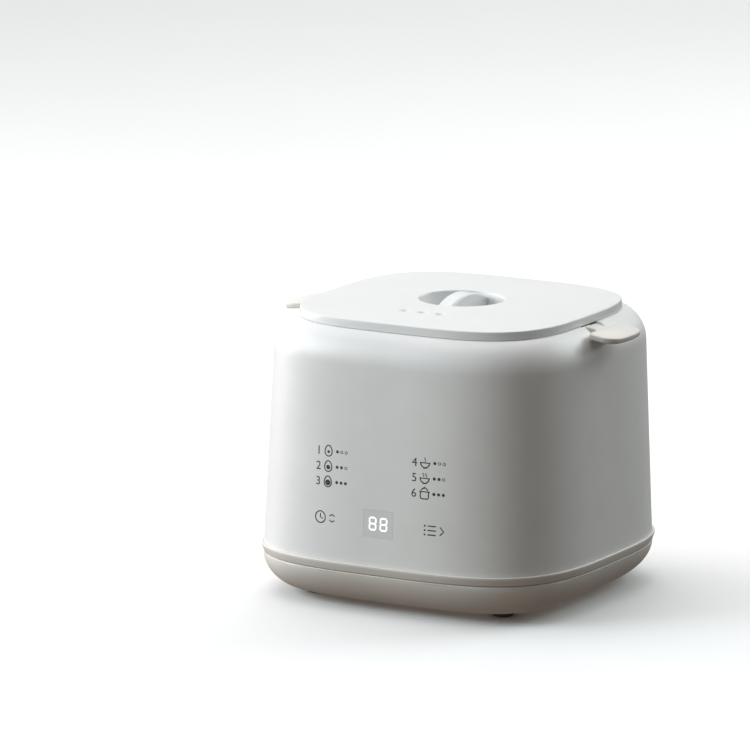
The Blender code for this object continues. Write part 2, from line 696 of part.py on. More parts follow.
def handle_outline():
    """A pot handle from above, as (outwards, sideways) points: a narrow neck and a wide plate."""
    inner_corner, outer_corner = 3.6, 7.5
    half = [(0.0, NECK_HALF + 0.8), (2.0, NECK_HALF), (NECK_LENGTH - NECK_FILLET, NECK_HALF)]
    half += arc((NECK_LENGTH - NECK_FILLET, NECK_HALF + NECK_FILLET), NECK_FILLET, -90, 0, 3)[1:]
    half += arc((NECK_LENGTH + inner_corner, PLATE_HALF - 0.4 - inner_corner), inner_corner, 180, 100, 3)
    half += arc((PLATE_END - 0.7 - outer_corner, PLATE_HALF - outer_corner), outer_corner, 90, 15, 4)
    half.append((PLATE_END, 4.0))
    return half + [(u, -v) for u, v in reversed(half)]


def make_pot():
    low, flange = lip_z() + GAP, POT_FLANGE
    rings = [
        ring(44.0, 3.1, POT_BOTTOM_Z),
        ring(52.0, 3.25, POT_BOTTOM_Z + 1.0),
        ring(58.6, 3.4, POT_BOTTOM_Z + 4.8),
        ring(62.6, RIM_POWER, POT_BOTTOM_Z + 11.0),
        ring(64.4, RIM_POWER, POT_BOTTOM_Z + 19.0),
        ring(67.0, RIM_POWER, 137.1),
        ring(67.5, RIM_POWER, low - 0.7),
        ring(68.2, RIM_POWER, low),
        ring(POT_FLANGE_HALF, RIM_POWER, low),
        ring(POT_FLANGE_HALF, RIM_POWER, low + flange),
        ring(68.0, RIM_POWER, low + flange),
        ring(66.8, RIM_POWER, low + 0.3),
        ring(66.1, RIM_POWER, 137.1),
        ring(63.5, RIM_POWER, POT_BOTTOM_Z + 19.0),
        ring(61.7, RIM_POWER, POT_BOTTOM_Z + 11.4),
        ring(57.9, 3.4, POT_BOTTOM_Z + 5.5),
        ring(51.7, 3.25, POT_BOTTOM_Z + 1.9),
        ring(44.0, 3.1, POT_BOTTOM_Z + POT_WALL),
    ]
    pot = add("inner_pot", skin(rings), "steel")
    pieces = [pot]
    slope = math.tan(HANDLE_SLOPE)
    mid_z = HANDLE_START_Z - HANDLE_THICKNESS / 2
    tab_x = TAB_START_X + TAB_LENGTH / 2
    tab_z = mid_z - slope * (tab_x - HANDLE_START_X)
    step_x = TAB_START_X + TAB_THICKNESS / 2
    step_low = mid_z - slope * (step_x - HANDLE_START_X) - TAB_THICKNESS / 2
    step_height = low + flange - step_low
    for side, sign in (("left", -1), ("right", 1)):
        tilt = (0, sign * HANDLE_SLOPE, 0)
        join(pot, block((TAB_THICKNESS, 2 * TAB_HALF, step_height)), (sign * step_x, 0, step_low + step_height / 2))
        join(pot, block((TAB_LENGTH, 2 * TAB_HALF - 0.4, TAB_THICKNESS)), (sign * tab_x, 0, tab_z), tilt)

        lie = Matrix.Rotation(math.pi if sign < 0 else 0.0, 4, "Z") @ Matrix.Rotation(HANDLE_SLOPE, 4, "Y")
        turn = lie.to_euler()
        at = (sign * HANDLE_START_X, 0, HANDLE_START_Z)
        handle = add(f"pot_handle_{side}", prism(handle_outline(), -HANDLE_THICKNESS, 0), "cream_shell", at, turn)
        soften(handle, 0.9, 1)
        pocket = block((TAB_LENGTH + 2.4, 2 * TAB_HALF + 2 * GAP, TAB_THICKNESS + 2 * GAP))
        cut(handle, pocket, (sign * tab_x, 0, tab_z), tilt)
        hole = lie @ Vector((RIVET_AT, 0, -HANDLE_THICKNESS))
        rivet_at = (at[0] + hole.x, at[1] + hole.y, at[2] + hole.z)
        cut(handle, turned([(1.9, -2.0), (1.9, 2.1)]), rivet_at, turn)
        cut(pot, turned([(1.9, 0.2), (1.9, 2.8)]), rivet_at, turn)
        rivet = turned([(2.4, -1.1), (2.9, -0.7), (2.9, -GAP), (1.5, -GAP), (1.5, 1.6)])
        pieces += [handle, add(f"handle_rivet_{side}", rivet, "steel", rivet_at, turn)]
    return pieces


def egg_seat_places():
    angles = [math.radians(30 + 360 * i / EGG_SEATS) for i in range(EGG_SEATS)]
    return [(EGG_SEAT_CIRCLE * math.cos(a), EGG_SEAT_CIRCLE * math.sin(a)) for a in angles]


def make_rack():
    """A plate with open seats for eggs on three legs, and a knob on a post to lift it by."""
    low, high = RACK_Z, RACK_Z + RACK_THICKNESS
    rings = [
        ring(RACK_HALF - 3, RACK_POWER, low),
        ring(RACK_HALF, RACK_POWER, low + 1.4),
        ring(RACK_HALF, RACK_POWER, high + 2.4),
        ring(RACK_HALF - 1.6, RACK_POWER, high + 2.4),
        ring(RACK_HALF - 2.6, RACK_POWER, high),
    ]
    rack = add("egg_rack", skin(rings), "white_shell")
    foot_z = POT_BOTTOM_Z + POT_WALL + GAP
    for angle in (math.radians(a) for a in (60, 180, 300)):
        leg = (LEG_CIRCLE * math.cos(angle), LEG_CIRCLE * math.sin(angle), 0)
        join(rack, turned([(2.2, foot_z), (3.0, low + 1)], 12), leg)
    for x, y in egg_seat_places():
        cut(rack, turned([(EGG_SEAT_RADIUS, low - 3), (EGG_SEAT_RADIUS, high + 3)], 20), (x, y, 0))
    cut(rack, turned([(3.4, low - 3), (3.4, high + 3)]))
    knob = [(2.6, low - 1.6), (4.6, low - 1.0), (4.6, low - GAP), (3.0, low - GAP), (3.0, high + GAP)]
    knob += [(6.0, high + GAP), (5.4, high + 2.0), (4.0, high + 5.0), (3.6, 108.5), (5.0, 113.5)]
    knob += [(10.0, 117.5), (11.0, 119.5), (10.4, 121.9), (8.0, 123.5)]
    handle = add("rack_handle", turned(knob, 18), "cream_shell")
    return [rack, handle]


def make_lid():
    """The lid: a crowned top with a round finger recess and an outer rim that drops round the pot's
    flange, a skirt inside the pot, a grip bar across the recess and three steam holes."""
    low = lip_z() + 2 * GAP + POT_FLANGE
    rim_low = lip_z() + GAP
    top, under = LID_TOP_Z, LID_TOP_Z - 2.0
    rings = [
        ring(RECESS_RADIUS - 3.0, ROUND, LID_FLOOR_Z),
        ring(RECESS_RADIUS - 1.4, ROUND, LID_FLOOR_Z + 1.4),
        ring(RECESS_RADIUS, ROUND, top - 2.0),
        ring(RECESS_RADIUS + 0.6, ROUND, top - 0.5),
        ring(RECESS_RADIUS + 1.8, ROUND, top),
        ring(40.0, 2.4, top - 0.15),
        ring(56.0, 2.9, top - 0.55),
        ring(67.0, 3.3, top - 1.0),
        ring(LID_HALF - 1.2, RIM_POWER, top - 1.4),
        ring(LID_HALF - 0.3, RIM_POWER, top - 2.1),
        ring(LID_HALF, RIM_POWER, top - 3.0),
        ring(LID_HALF, RIM_POWER, rim_low),
        ring(LID_HALF - LID_RIM, RIM_POWER, rim_low),
        ring(LID_HALF - LID_RIM, RIM_POWER, low),
        ring(65.5, RIM_POWER, low),
        ring(65.1, RIM_POWER, 135.9),
        ring(63.6, RIM_POWER, 135.9),
        ring(63.8, RIM_POWER, low + 0.6),
        ring(60.0, 3.0, under - 0.7),
        ring(40.0, 2.4, under - 0.15),
        ring(RECESS_RADIUS + 3.2, ROUND, under),
        ring(RECESS_RADIUS + 2.2, ROUND, under - 1.2),
        ring(RECESS_RADIUS + 0.4, ROUND, LID_FLOOR_Z + 0.4),
        ring(RECESS_RADIUS - 2.0, ROUND, LID_FLOOR_Z - 1.8),
    ]
    lid = add("lid", skin(rings), "frosted_lid")
    reach = RECESS_RADIUS + 1.2
    grip = grip_outline(reach, GRIP_PEAK_Z, LID_FLOOR_Z - 1.0)
    join(lid, prism(grip, -GRIP_HALF_WIDTH, GRIP_HALF_WIDTH, "X"))
    hollow = grip_outline(reach - 4.6, GRIP_PEAK_Z - 2.0, LID_FLOOR_Z - 6.0)
    cut(lid, prism(hollow, 1.8 - GRIP_HALF_WIDTH, GRIP_HALF_WIDTH - 1.8, "X"))
    for i in (-1, 0, 1):
        vent = turned([(1.5, top - 6), (1.5, top - 1.4), (3.4, top + 0.6)])
        cut(lid, vent, (i * VENT_PITCH, VENT_Y, 0))
    return lid


def grip_outline(reach, peak, floor):
    """The grip bar from the side, as (y, z) points: an arched top over a flat foot."""
    steps = 10
    crown = []
    for i in range(steps + 1):
        y = reach * (2 * i / steps - 1)
        crown.append((y, peak - GRIP_END_DROP * (y / RECESS_RADIUS) ** 2))
    return crown + [(reach, floor), (-reach, floor)]


def main():
    clear_scene()
    make_housing()
    make_window()
    make_trim_ring()
    make_base_cover()
    make_feet_and_base_screws()
    make_liner()
    make_heating_plate()
    make_heating_element()
    make_sensor()
    make_thermal_fuse()
    make_power_board()
    make_control_board()
    make_ribbon_cable()
    make_inlet()
    make_leads()
    moving_group("pot_lift", lip_z(), make_pot())
    moving_group("rack_lift", RACK_Z, make_rack())
    moving_group("lid_lift", LID_TOP_Z, [make_lid()])


main()
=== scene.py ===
"""The looks of the egg cooker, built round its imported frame.

Sizes are in millimetres and meshes are built in metres, in the frame's own axes: +Z up, -Y
towards the control face, the pot's handles along X. Every outline is a superellipse
|x/a|^n + |y/b|^n = 1, so a shell is a skin over a stack of such rings.
"""

import json
import math

import bmesh
import bpy
import numpy as np
from mathutils import Matrix, Vector


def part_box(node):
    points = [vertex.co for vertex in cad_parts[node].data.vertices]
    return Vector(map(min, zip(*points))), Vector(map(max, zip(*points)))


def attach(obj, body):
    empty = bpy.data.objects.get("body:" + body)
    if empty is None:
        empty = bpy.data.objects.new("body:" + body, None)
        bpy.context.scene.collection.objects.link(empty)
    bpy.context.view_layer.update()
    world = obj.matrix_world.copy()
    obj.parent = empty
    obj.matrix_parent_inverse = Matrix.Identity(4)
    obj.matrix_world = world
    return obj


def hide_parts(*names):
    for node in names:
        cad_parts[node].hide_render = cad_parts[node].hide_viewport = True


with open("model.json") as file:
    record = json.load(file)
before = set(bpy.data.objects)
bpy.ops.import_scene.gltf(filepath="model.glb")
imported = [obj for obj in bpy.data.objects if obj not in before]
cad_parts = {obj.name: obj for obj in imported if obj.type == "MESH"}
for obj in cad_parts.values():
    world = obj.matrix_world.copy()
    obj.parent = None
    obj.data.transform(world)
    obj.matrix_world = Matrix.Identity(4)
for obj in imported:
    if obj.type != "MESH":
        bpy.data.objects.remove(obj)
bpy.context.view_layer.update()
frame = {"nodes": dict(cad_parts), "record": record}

MM = 0.001


def box_mm(node):
    """A node's lowest and highest corners in millimetres."""
    low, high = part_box(node)
    return Vector(low) / MM, Vector(high) / MM


HOUSING = box_mm("housing")
TRIM = box_mm("trim_ring")
BASE = box_mm("base_cover")
LID = box_mm("lid")
POT = box_mm("inner_pot")
LINER = box_mm("inner_liner")
PLATE = box_mm("heating_plate")
RACK = box_mm("egg_rack")
KNOB = box_mm("rack_handle")
WINDOW = box_mm("display_window")
INLET = box_mm("power_inlet")
SENSOR = box_mm("sensor_cap")
FOOT = box_mm("foot_front_right")

ROUND = 2.0  # the superellipse power of a circle
BODY_POWER = 3.48
BASE_POWER = 4.24
RIM_POWER = 3.5
RACK_POWER = 3.4

# Heights and half-widths, taken from the frame's own boxes where a box gives them
HOUSING_HALF = HOUSING[1].x
LIP_Z = HOUSING[1].z
BASE_TOP_Z = BASE[1].z
TRIM_LOW_Z = TRIM[0].z
TRIM_TOP_Z = BASE_TOP_Z + 4.7
WALL_LOW_Z = TRIM_TOP_Z + 0.3
HOUSING_FOOT_Z = TRIM_TOP_Z - 0.9  # the shell ends out of sight behind the trim's lip
SHOULDER_Z = LIP_Z - 16.04
SHOULDER_RISE = 17.6
WALL_DRAFT = 0.0406  # how much the half-width shrinks with each mm of height
WALL = 2.6
LIP_HALF = 73.4
LIP_INNER_HALF = 68.6
LIP_UNDER_Z = LINER[1].z + 0.3
LID_PLATE_Z = LID[1].z - 2.8  # the lid's plane; only the grip bar stands higher
LID_EDGE_Z = POT[1].z + 0.3
WELL_FLOOR_Z = LID[0].z + 1.8
WELL_RADIUS = 21.4
GRIP_HALF_WIDTH = 4.2
VENT_PITCH = 9.9
VENT_Y = -41.5
HANDLE_SLOPE = math.radians(7.0)
HANDLE_START = Vector((72.0, 0.0, LIP_Z - 0.34))
HANDLE_THICKNESS = 3.0
NECK_LENGTH = 7.1
NECK_HALF = 5.5
NOTCH_HALF = 7.4
NOTCH_DROP = 4.49
TAB_START_X = 69.6
TAB_LENGTH = 20.0
FOOT_AT = (FOOT[0].x + FOOT[1].x) / 2
FOOT_RADIUS = (FOOT[1].x - FOOT[0].x) / 2
EGG_SEATS = 6
EGG_SEAT_CIRCLE = 42.0
EGG_SEAT_RADIUS = 16.0
LEG_CIRCLE = 38.0
STEAM_HOLE_CIRCLE = 21.5
PLATE_SCREW_CIRCLE = 48.0

# The printed face: places on the front wall
DISPLAY_Z = (WINDOW[0].z + WINDOW[1].z) / 2
ROW_HEIGHTS = (80.1, 72.4, 64.7)
LEFT_COLUMN_X = -36.4
RIGHT_COLUMN_X = 17.8
KEY_X = 30.8
INK_WIDTH = 0.56
INK_HEIGHT = 0.04
NUMERAL_SHARE = 0.73  # a numeral's height as a share of the font's size
DIGIT_WIDTH = 4.3
DIGIT_HEIGHT = 6.9
DIGIT_PITCH = 6.1
SEGMENT_WIDTH = 0.85

# The light of the surroundings: a room above the horizon and a warm table top below it.
# These colours and the lamps' powers began as a fit to the photo's brightness, then were rounded
# and changed. They describe no measured room.
ROOM_LEFT = (0.90, 0.90, 0.89)
ROOM_RIGHT = (0.07, 0.06, 0.05)
ROOM_FRONT = (0.06, 0.11, 0.13)
TABLE_LEFT = (0.42, 0.38, 0.35)
TABLE_RIGHT = (0.03, 0.02, 0.02)
TABLE_FRONT = (0.63, 0.54, 0.46)
TABLE_UNDER = (0.015, 0.005, 0.00)

SLOTS = {entry["node"]: entry["material_slot"] for entry in frame["record"]["subparts"]}
replaced = set()


# ---------------------------------------------------------------- materials


def new_material(name):
    material = bpy.data.materials.new(name)
    material.use_nodes = True
    nodes = material.node_tree.nodes
    return material, nodes, material.node_tree.links, nodes["Principled BSDF"]


def object_position(nodes, links, stretch=(1, 1, 1)):
    """The surface point in the piece's own metres, stretched along its axes."""
    place = nodes.new("ShaderNodeTexCoord")
    mapping = nodes.new("ShaderNodeMapping")
    mapping.inputs["Scale"].default_value = stretch
    links.new(place.outputs["Object"], mapping.inputs["Vector"])
    return mapping.outputs["Vector"]


def noise(nodes, links, vector, size_mm, detail, roughness=0.55):
    texture = nodes.new("ShaderNodeTexNoise")
    texture.inputs["Scale"].default_value = 1 / (size_mm * MM)
    texture.inputs["Detail"].default_value = detail
    texture.inputs["Roughness"].default_value = roughness
    links.new(vector, texture.inputs["Vector"])
    return texture.outputs["Fac"]


def between(nodes, links, factor, low, high):
    """Turns a noise's middle range into the range from low to high."""
    spread = nodes.new("ShaderNodeMapRange")
    spread.inputs["From Min"].default_value = 0.3
    spread.inputs["From Max"].default_value = 0.7
    spread.inputs["To Min"].default_value = low
    spread.inputs["To Max"].default_value = high
    links.new(factor, spread.inputs["Value"])
    return spread.outputs["Result"]


def tint(nodes, links, factor, first, second):
    ramp = nodes.new("ShaderNodeValToRGB")
    ramp.color_ramp.elements[0].position = 0.32
    ramp.color_ramp.elements[0].color = (*first, 1)
    ramp.color_ramp.elements[1].position = 0.68
    ramp.color_ramp.elements[1].color = (*second, 1)
    links.new(factor, ramp.inputs["Fac"])
    return ramp.outputs["Color"]


def bump(nodes, links, height, depth_mm, onto=None):
    node = nodes.new("ShaderNodeBump")
    node.inputs["Distance"].default_value = depth_mm * MM
    node.inputs["Strength"].default_value = 1.0
    links.new(height, node.inputs["Height"])
    if onto:
        links.new(onto, node.inputs["Normal"])
    return node.outputs["Normal"]


def moulded(name, first, second, rough, grain, patch=18.0, **sockets):
    """Moulded or painted plastic: slow drifts of tone and gloss over a fine grain.

    rough is (lowest, highest) roughness, and grain is (size, depth) in mm."""
    material, nodes, links, shader = new_material(name)
    place = object_position(nodes, links)
    drift = noise(nodes, links, place, patch, 4.0)
    links.new(tint(nodes, links, drift, first, second), shader.inputs["Base Color"])
    smears = noise(nodes, links, place, patch * 0.35, 5.0, 0.65)
    links.new(between(nodes, links, smears, *rough), shader.inputs["Roughness"])
    fine = noise(nodes, links, place, grain[0], 2.0)
    wavy = noise(nodes, links, place, grain[0] * 14, 1.0)
    low = bump(nodes, links, wavy, grain[1] * 3)
    links.new(bump(nodes, links, fine, grain[1], onto=low), shader.inputs["Normal"])
    for socket, value in sockets.items():
        shader.inputs[socket.replace("_", " ")].default_value = value
    return material


def brushed(name, colour, rough, stretch, line_mm=0.12):
    """Metal with fine lines along the axes where stretch is small, or even grain at (1, 1, 1)."""
    material, nodes, links, shader = new_material(name)
    lines = noise(nodes, links, object_position(nodes, links, stretch), line_mm, 4.0, 0.7)
    cloud = noise(nodes, links, object_position(nodes, links), 22.0, 4.0)
    darker = tuple(0.86 * c for c in colour)
    links.new(tint(nodes, links, cloud, darker, colour), shader.inputs["Base Color"])
    links.new(between(nodes, links, lines, *rough), shader.inputs["Roughness"])
    links.new(bump(nodes, links, lines, 0.004), shader.inputs["Normal"])
    shader.inputs["Metallic"].default_value = 1.0
    return material


def satin_white():
    """The housing's paint: a very fine orange peel and a soft sheen."""
    return moulded("satin_white_paint", (0.815, 0.815, 0.81), (0.845, 0.845, 0.84), (0.36, 0.46),
                   (0.5, 0.004), Coat_Weight=0.12, Coat_Roughness=0.3)


def warm_cream():
    return moulded("warm_cream_plastic", (0.76, 0.73, 0.68), (0.79, 0.76, 0.71), (0.34, 0.42),
                   (0.5, 0.003), Coat_Weight=0.12, Coat_Roughness=0.3)


def frosted_plastic():
    """The lid: milky polypropylene with a fine satin grain."""
    return moulded("frosted_lid_plastic", (0.775, 0.78, 0.78), (0.795, 0.80, 0.80), (0.30, 0.38),
                   (0.5, 0.002), 30.0, IOR=1.46, Coat_Weight=0.2, Coat_Roughness=0.15)


def display_lens():
    return moulded("display_lens_plastic", (0.765, 0.765, 0.76), (0.79, 0.79, 0.785), (0.26, 0.34),
                   (0.3, 0.002))


def dark_rubber():
    return moulded("foot_rubber", (0.030, 0.026, 0.024), (0.055, 0.048, 0.044), (0.62, 0.85),
                   (0.25, 0.03), 6.0)


def black_plastic():
    return moulded("moulded_black_plastic", (0.020, 0.020, 0.021), (0.038, 0.038, 0.040), (0.38, 0.55),
                   (0.2, 0.012), 8.0)


def printed_ink():
    return moulded("grey_print", (0.035, 0.035, 0.037), (0.055, 0.055, 0.058), (0.45, 0.6),
                   (0.15, 0.004), 2.0)


def rack_plastic():
    return moulded("rack_white_plastic", (0.80, 0.80, 0.775), (0.85, 0.85, 0.83), (0.34, 0.44),
                   (0.4, 0.005))


def pot_steel():
    return brushed("brushed_pot_steel", (0.66, 0.655, 0.64), (0.16, 0.32), (0.03, 0.03, 1.0))


def liner_steel():
    return brushed("drawn_liner_steel", (0.58, 0.58, 0.57), (0.24, 0.42), (0.04, 0.04, 1.0), 0.2)


def zinc_steel():
    return brushed("plated_steel", (0.62, 0.62, 0.60), (0.22, 0.45), (1, 1, 1), 0.25)


def machined_aluminium():
    """A cast plate faced on a lathe: fine rings round Z over cloudy metal."""
    material, nodes, links, shader = new_material("machined_aluminium")
    place = object_position(nodes, links)
    rings = nodes.new("ShaderNodeTexWave")
    rings.wave_type = "RINGS"
    rings.rings_direction = "Z"
    rings.inputs["Scale"].default_value = 1 / (3.2 * MM)
    rings.inputs["Distortion"].default_value = 0.4
    links.new(place, rings.inputs["Vector"])
    cloud = noise(nodes, links, place, 9.0, 5.0)
    metal = tint(nodes, links, cloud, (0.47, 0.47, 0.465), (0.60, 0.60, 0.59))
    links.new(metal, shader.inputs["Base Color"])
    links.new(between(nodes, links, cloud, 0.30, 0.46), shader.inputs["Roughness"])
    pits = noise(nodes, links, place, 0.5, 3.0)
    low = bump(nodes, links, pits, 0.01)
    links.new(bump(nodes, links, rings.outputs["Fac"], 0.012, onto=low), shader.inputs["Normal"])
    shader.inputs["Metallic"].default_value = 1.0
    return material


def lit_digit():
    """A display segment: white light, a little uneven over its length."""
    material, nodes, links, shader = new_material("lit_white_digit")
    place = object_position(nodes, links)
    glow = noise(nodes, links, place, 1.5, 2.0)
    colour = tint(nodes, links, glow, (0.93, 0.95, 1.0), (1.0, 1.0, 1.0))
    links.new(colour, shader.inputs["Base Color"])
    links.new(colour, shader.inputs["Emission Color"])
    links.new(between(nodes, links, glow, 0.3, 0.4), shader.inputs["Roughness"])
    shader.inputs["Emission Strength"].default_value = 0.75
    return material


def solder_mask():
    return moulded("green_solder_mask", (0.012, 0.085, 0.040), (0.02, 0.13, 0.06), (0.25, 0.4),
                   (0.3, 0.006), 4.0)


def part_case(name, colour):
    """An electric part's case or a wire's insulation."""
    darker = tuple(0.75 * c for c in colour)
    return moulded(name, darker, colour, (0.32, 0.5), (0.2, 0.006), 5.0)


def contact_brass():
    return brushed("contact_brass", (0.66, 0.50, 0.24), (0.2, 0.4), (1, 1, 1), 0.2)


LOOKS = {
    "white_shell": satin_white(),
    "cream_shell": warm_cream(),
    "frosted_lid": frosted_plastic(),
    "window_lens": display_lens(),
    "rubber_foot": dark_rubber(),
    "steel": zinc_steel(),
    "cast_aluminium": machined_aluminium(),
    "dark_plastic": black_plastic(),
    "board_green": solder_mask(),
    "component_blue": part_case("component_blue_case", (0.05, 0.14, 0.36)),
    "brass": contact_brass(),
    "red_lead": part_case("red_insulation", (0.45, 0.03, 0.025)),
    "blue_lead": part_case("blue_insulation", (0.03, 0.09, 0.40)),
    "green_lead": part_case("green_insulation", (0.20, 0.42, 0.05)),
}


# ---------------------------------------------------------------- tools


def columns(count, finer_at=0.0, finer_half=0.0, finer_step=1.0):
    """Polar angles spread evenly along a rounded square, and closer where it crosses the X axis."""
    dense = np.linspace(0, 2 * math.pi, 7201)
    c, s = np.cos(dense), np.sin(dense)
    reach = (np.abs(c) ** BODY_POWER + np.abs(s) ** BODY_POWER) ** (-1 / BODY_POWER)
    steps = np.hypot(np.diff(reach * c), np.diff(reach * s))
    along = np.concatenate([[0], np.cumsum(steps)])
    angles = np.interp(np.linspace(0, along[-1], count + 1)[:-1], along, dense)
    if finer_half:
        edge = math.atan2(finer_half, finer_at)
        keep = [a for a in angles if min(abs(math.remainder(a, math.pi)), math.pi) > edge + 0.01]
        offsets = np.arange(-finer_half, finer_half + finer_step / 2, finer_step)
        near = [math.atan2(y, finer_at) for y in offsets]
        angles = sorted([*keep, *[a % (2 * math.pi) for a in near], *[a + math.pi for a in near]])
    return list(angles)


FINE = columns(160)
MEDIUM = columns(112)
NOTCHED = columns(160, finer_at=78.0, finer_half=16.0, finer_step=0.8)


def polar(radius, angle):
    return (radius * math.cos(angle), radius * math.sin(angle))


def turns(count):
    return [2 * math.pi * i / count for i in range(count)]


def ring(half, power, z, angles, deep=None):
    """One outline: half its width along X, and half its depth along Y if that differs."""
    deep = deep or half
    points = []
    for angle in angles:
        c, s = math.cos(angle), math.sin(angle)
        reach = (abs(c / half) ** power + abs(s / deep) ** power) ** (-1 / power)
        points.append((reach * c, reach * s, z))
    return points


def rounded(corners, steps=5):
    """(half, power, z) stations along a profile whose (half, z, power, radius) corners are filleted."""
    stations = []
    nearly_straight = math.radians(89.5)
    for i, (half, z, power, radius) in enumerate(corners):
        corner = Vector((half, z))
        if not radius or i in (0, len(corners) - 1):
            stations.append((half, power, z))
            continue
        back = (Vector(corners[i - 1][:2]) - corner).normalized()
        ahead = (Vector(corners[i + 1][:2]) - corner).normalized()
        half_angle = back.angle(ahead) / 2
        if half_angle > nearly_straight:
            stations.append((half, power, z))
            continue
        centre = corner + (back + ahead).normalized() * radius / math.sin(half_angle)
        start = corner + back * radius / math.tan(half_angle) - centre
        end = corner + ahead * radius / math.tan(half_angle) - centre
        sweep = math.pi - 2 * half_angle
        for k in range(steps + 1):
            share = k / steps
            blend = math.sin((1 - share) * sweep) * start + math.sin(share * sweep) * end
            point = centre + blend / math.sin(sweep)
            stations.append((point.x, power, point.y))
    return stations


def skin(rings, closed=False):
    """A bmesh over a stack of rings, closed on itself or capped at both ends."""
    bm = bmesh.new()
    rows = [[bm.verts.new(point) for point in points] for points in rings]
    pairs = list(zip(rows, rows[1:]))
    if closed:
        pairs.append((rows[-1], rows[0]))
    for low, high in pairs:
        for i in range(len(low)):
            j = (i + 1) % len(low)
            bm.faces.new((low[i], low[j], high[j], high[i]))
    if not closed:
        bm.faces.new(rows[0])
        bm.faces.new(rows[-1])
    return bm


def shell(stations, closed=True, angles=FINE):
    return skin([ring(half, power, z, angles) for half, power, z in stations], closed)


def turned(corners, count=64, closed=False, steps=4):
    """A bmesh turned about Z from filleted (radius, z, fillet) corners."""
    stations = rounded([(r, z, ROUND, fillet) for r, z, fillet in corners], steps)
    return shell(stations, closed, turns(count))


def prism(outline, low, high):
    bm = bmesh.new()
    near = [bm.verts.new((u, v, low)) for u, v in outline]
    far = [bm.verts.new((u, v, high)) for u, v in outline]
    bm.faces.new(near)
    bm.faces.new(far)
    for i in range(len(outline)):
        j = (i + 1) % len(outline)
        bm.faces.new((near[i], near[j], far[j], far[i]))
    return bm


def move(bm, offset):
    bmesh.ops.translate(bm, vec=offset, verts=bm.verts[:])
    return bm


def block(size, at=(0, 0, 0)):
    bm = bmesh.new()
    bmesh.ops.create_cube(bm, size=1.0)
    bmesh.ops.scale(bm, vec=size, verts=bm.verts[:])
    return move(bm, at)


def arc(centre, radius, start, end, steps):
    """Points of an arc, angles in degrees."""
    points = []
    for i in range(steps + 1):
        angle = math.radians(start + (end - start) * i / steps)
        points.append((centre[0] + radius * math.cos(angle), centre[1] + radius * math.sin(angle)))
    return points


def new_object(name, bm):
    bmesh.ops.recalc_face_normals(bm, faces=bm.faces[:])
    bmesh.ops.scale(bm, vec=(MM, MM, MM), verts=bm.verts[:])
    mesh = bpy.data.meshes.new(name)
    bm.to_mesh(mesh)
    bm.free()
    obj = bpy.data.objects.new(name, mesh)
    bpy.context.scene.collection.objects.link(obj)
    return obj


def settle(obj):
    """Makes an object's modifiers part of its mesh."""
    bpy.context.view_layer.update()
    evaluated = obj.evaluated_get(bpy.context.evaluated_depsgraph_get())
    mesh = bpy.data.meshes.new_from_object(evaluated)
    obj.modifiers.clear()
    obj.data = mesh


def carve(obj, bm, operation="DIFFERENCE"):
    """Cuts a shape from an object, or joins it on."""
    tool = new_object(f"{obj.name}_tool", bm)
    modifier = obj.modifiers.new("shape", "BOOLEAN")
    modifier.operation = operation
    modifier.object = tool
    settle(obj)
    bpy.data.objects.remove(tool)


def soften(obj, width, steps, angle):
    """Rounds the edges sharper than an angle, and keeps the faces between them flat."""
    modifier = obj.modifiers.new("rounded_edges", "BEVEL")
    modifier.harden_normals = True
    modifier.width = width * MM
    modifier.segments = steps
    modifier.limit_method = "ANGLE"
    modifier.angle_limit = math.radians(angle)
    settle(obj)


def finish_piece(obj, look, body, stands_for=(), slot=None, sharp=40):
    """Shades a piece, gives it its material and ties it to the frame."""
    obj.data.shade_smooth()
    obj.data.set_sharp_from_angle(angle=math.radians(sharp))
    obj.data.materials.clear()
    obj.data.materials.append(look)
    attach(obj, body)
    if stands_for:
        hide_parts(*stands_for)
        replaced.update(stands_for)
        slot = slot or SLOTS[stands_for[0]]


# ---------------------------------------------------------------- body shells


def wall_half(z):
    """Half the housing's width at a height, on its straight drafted wall."""
    return HOUSING_HALF - WALL_DRAFT * (z - WALL_LOW_Z)


def front_y(x, z, proud=0.0):
    """The front wall's surface at a place across and up, moved outwards a little."""
    half = wall_half(z)
    return -half * (1 - abs(x / half) ** BODY_POWER) ** (1 / BODY_POWER) - proud


def notched(point):
    """Lowers the lip and shoulder under the neck of each pot handle into a soft-edged notch."""
    x, y, z = point
    floor = LIP_Z - NOTCH_DROP
    if abs(x) < 68 or z <= floor:
        return point
    share = min(max((NOTCH_HALF + 1.1 - abs(y)) / 2.4, 0.0), 1.0)
    share = share * share * (3 - 2 * share)
    return (x, y, z + (floor - z) * share)


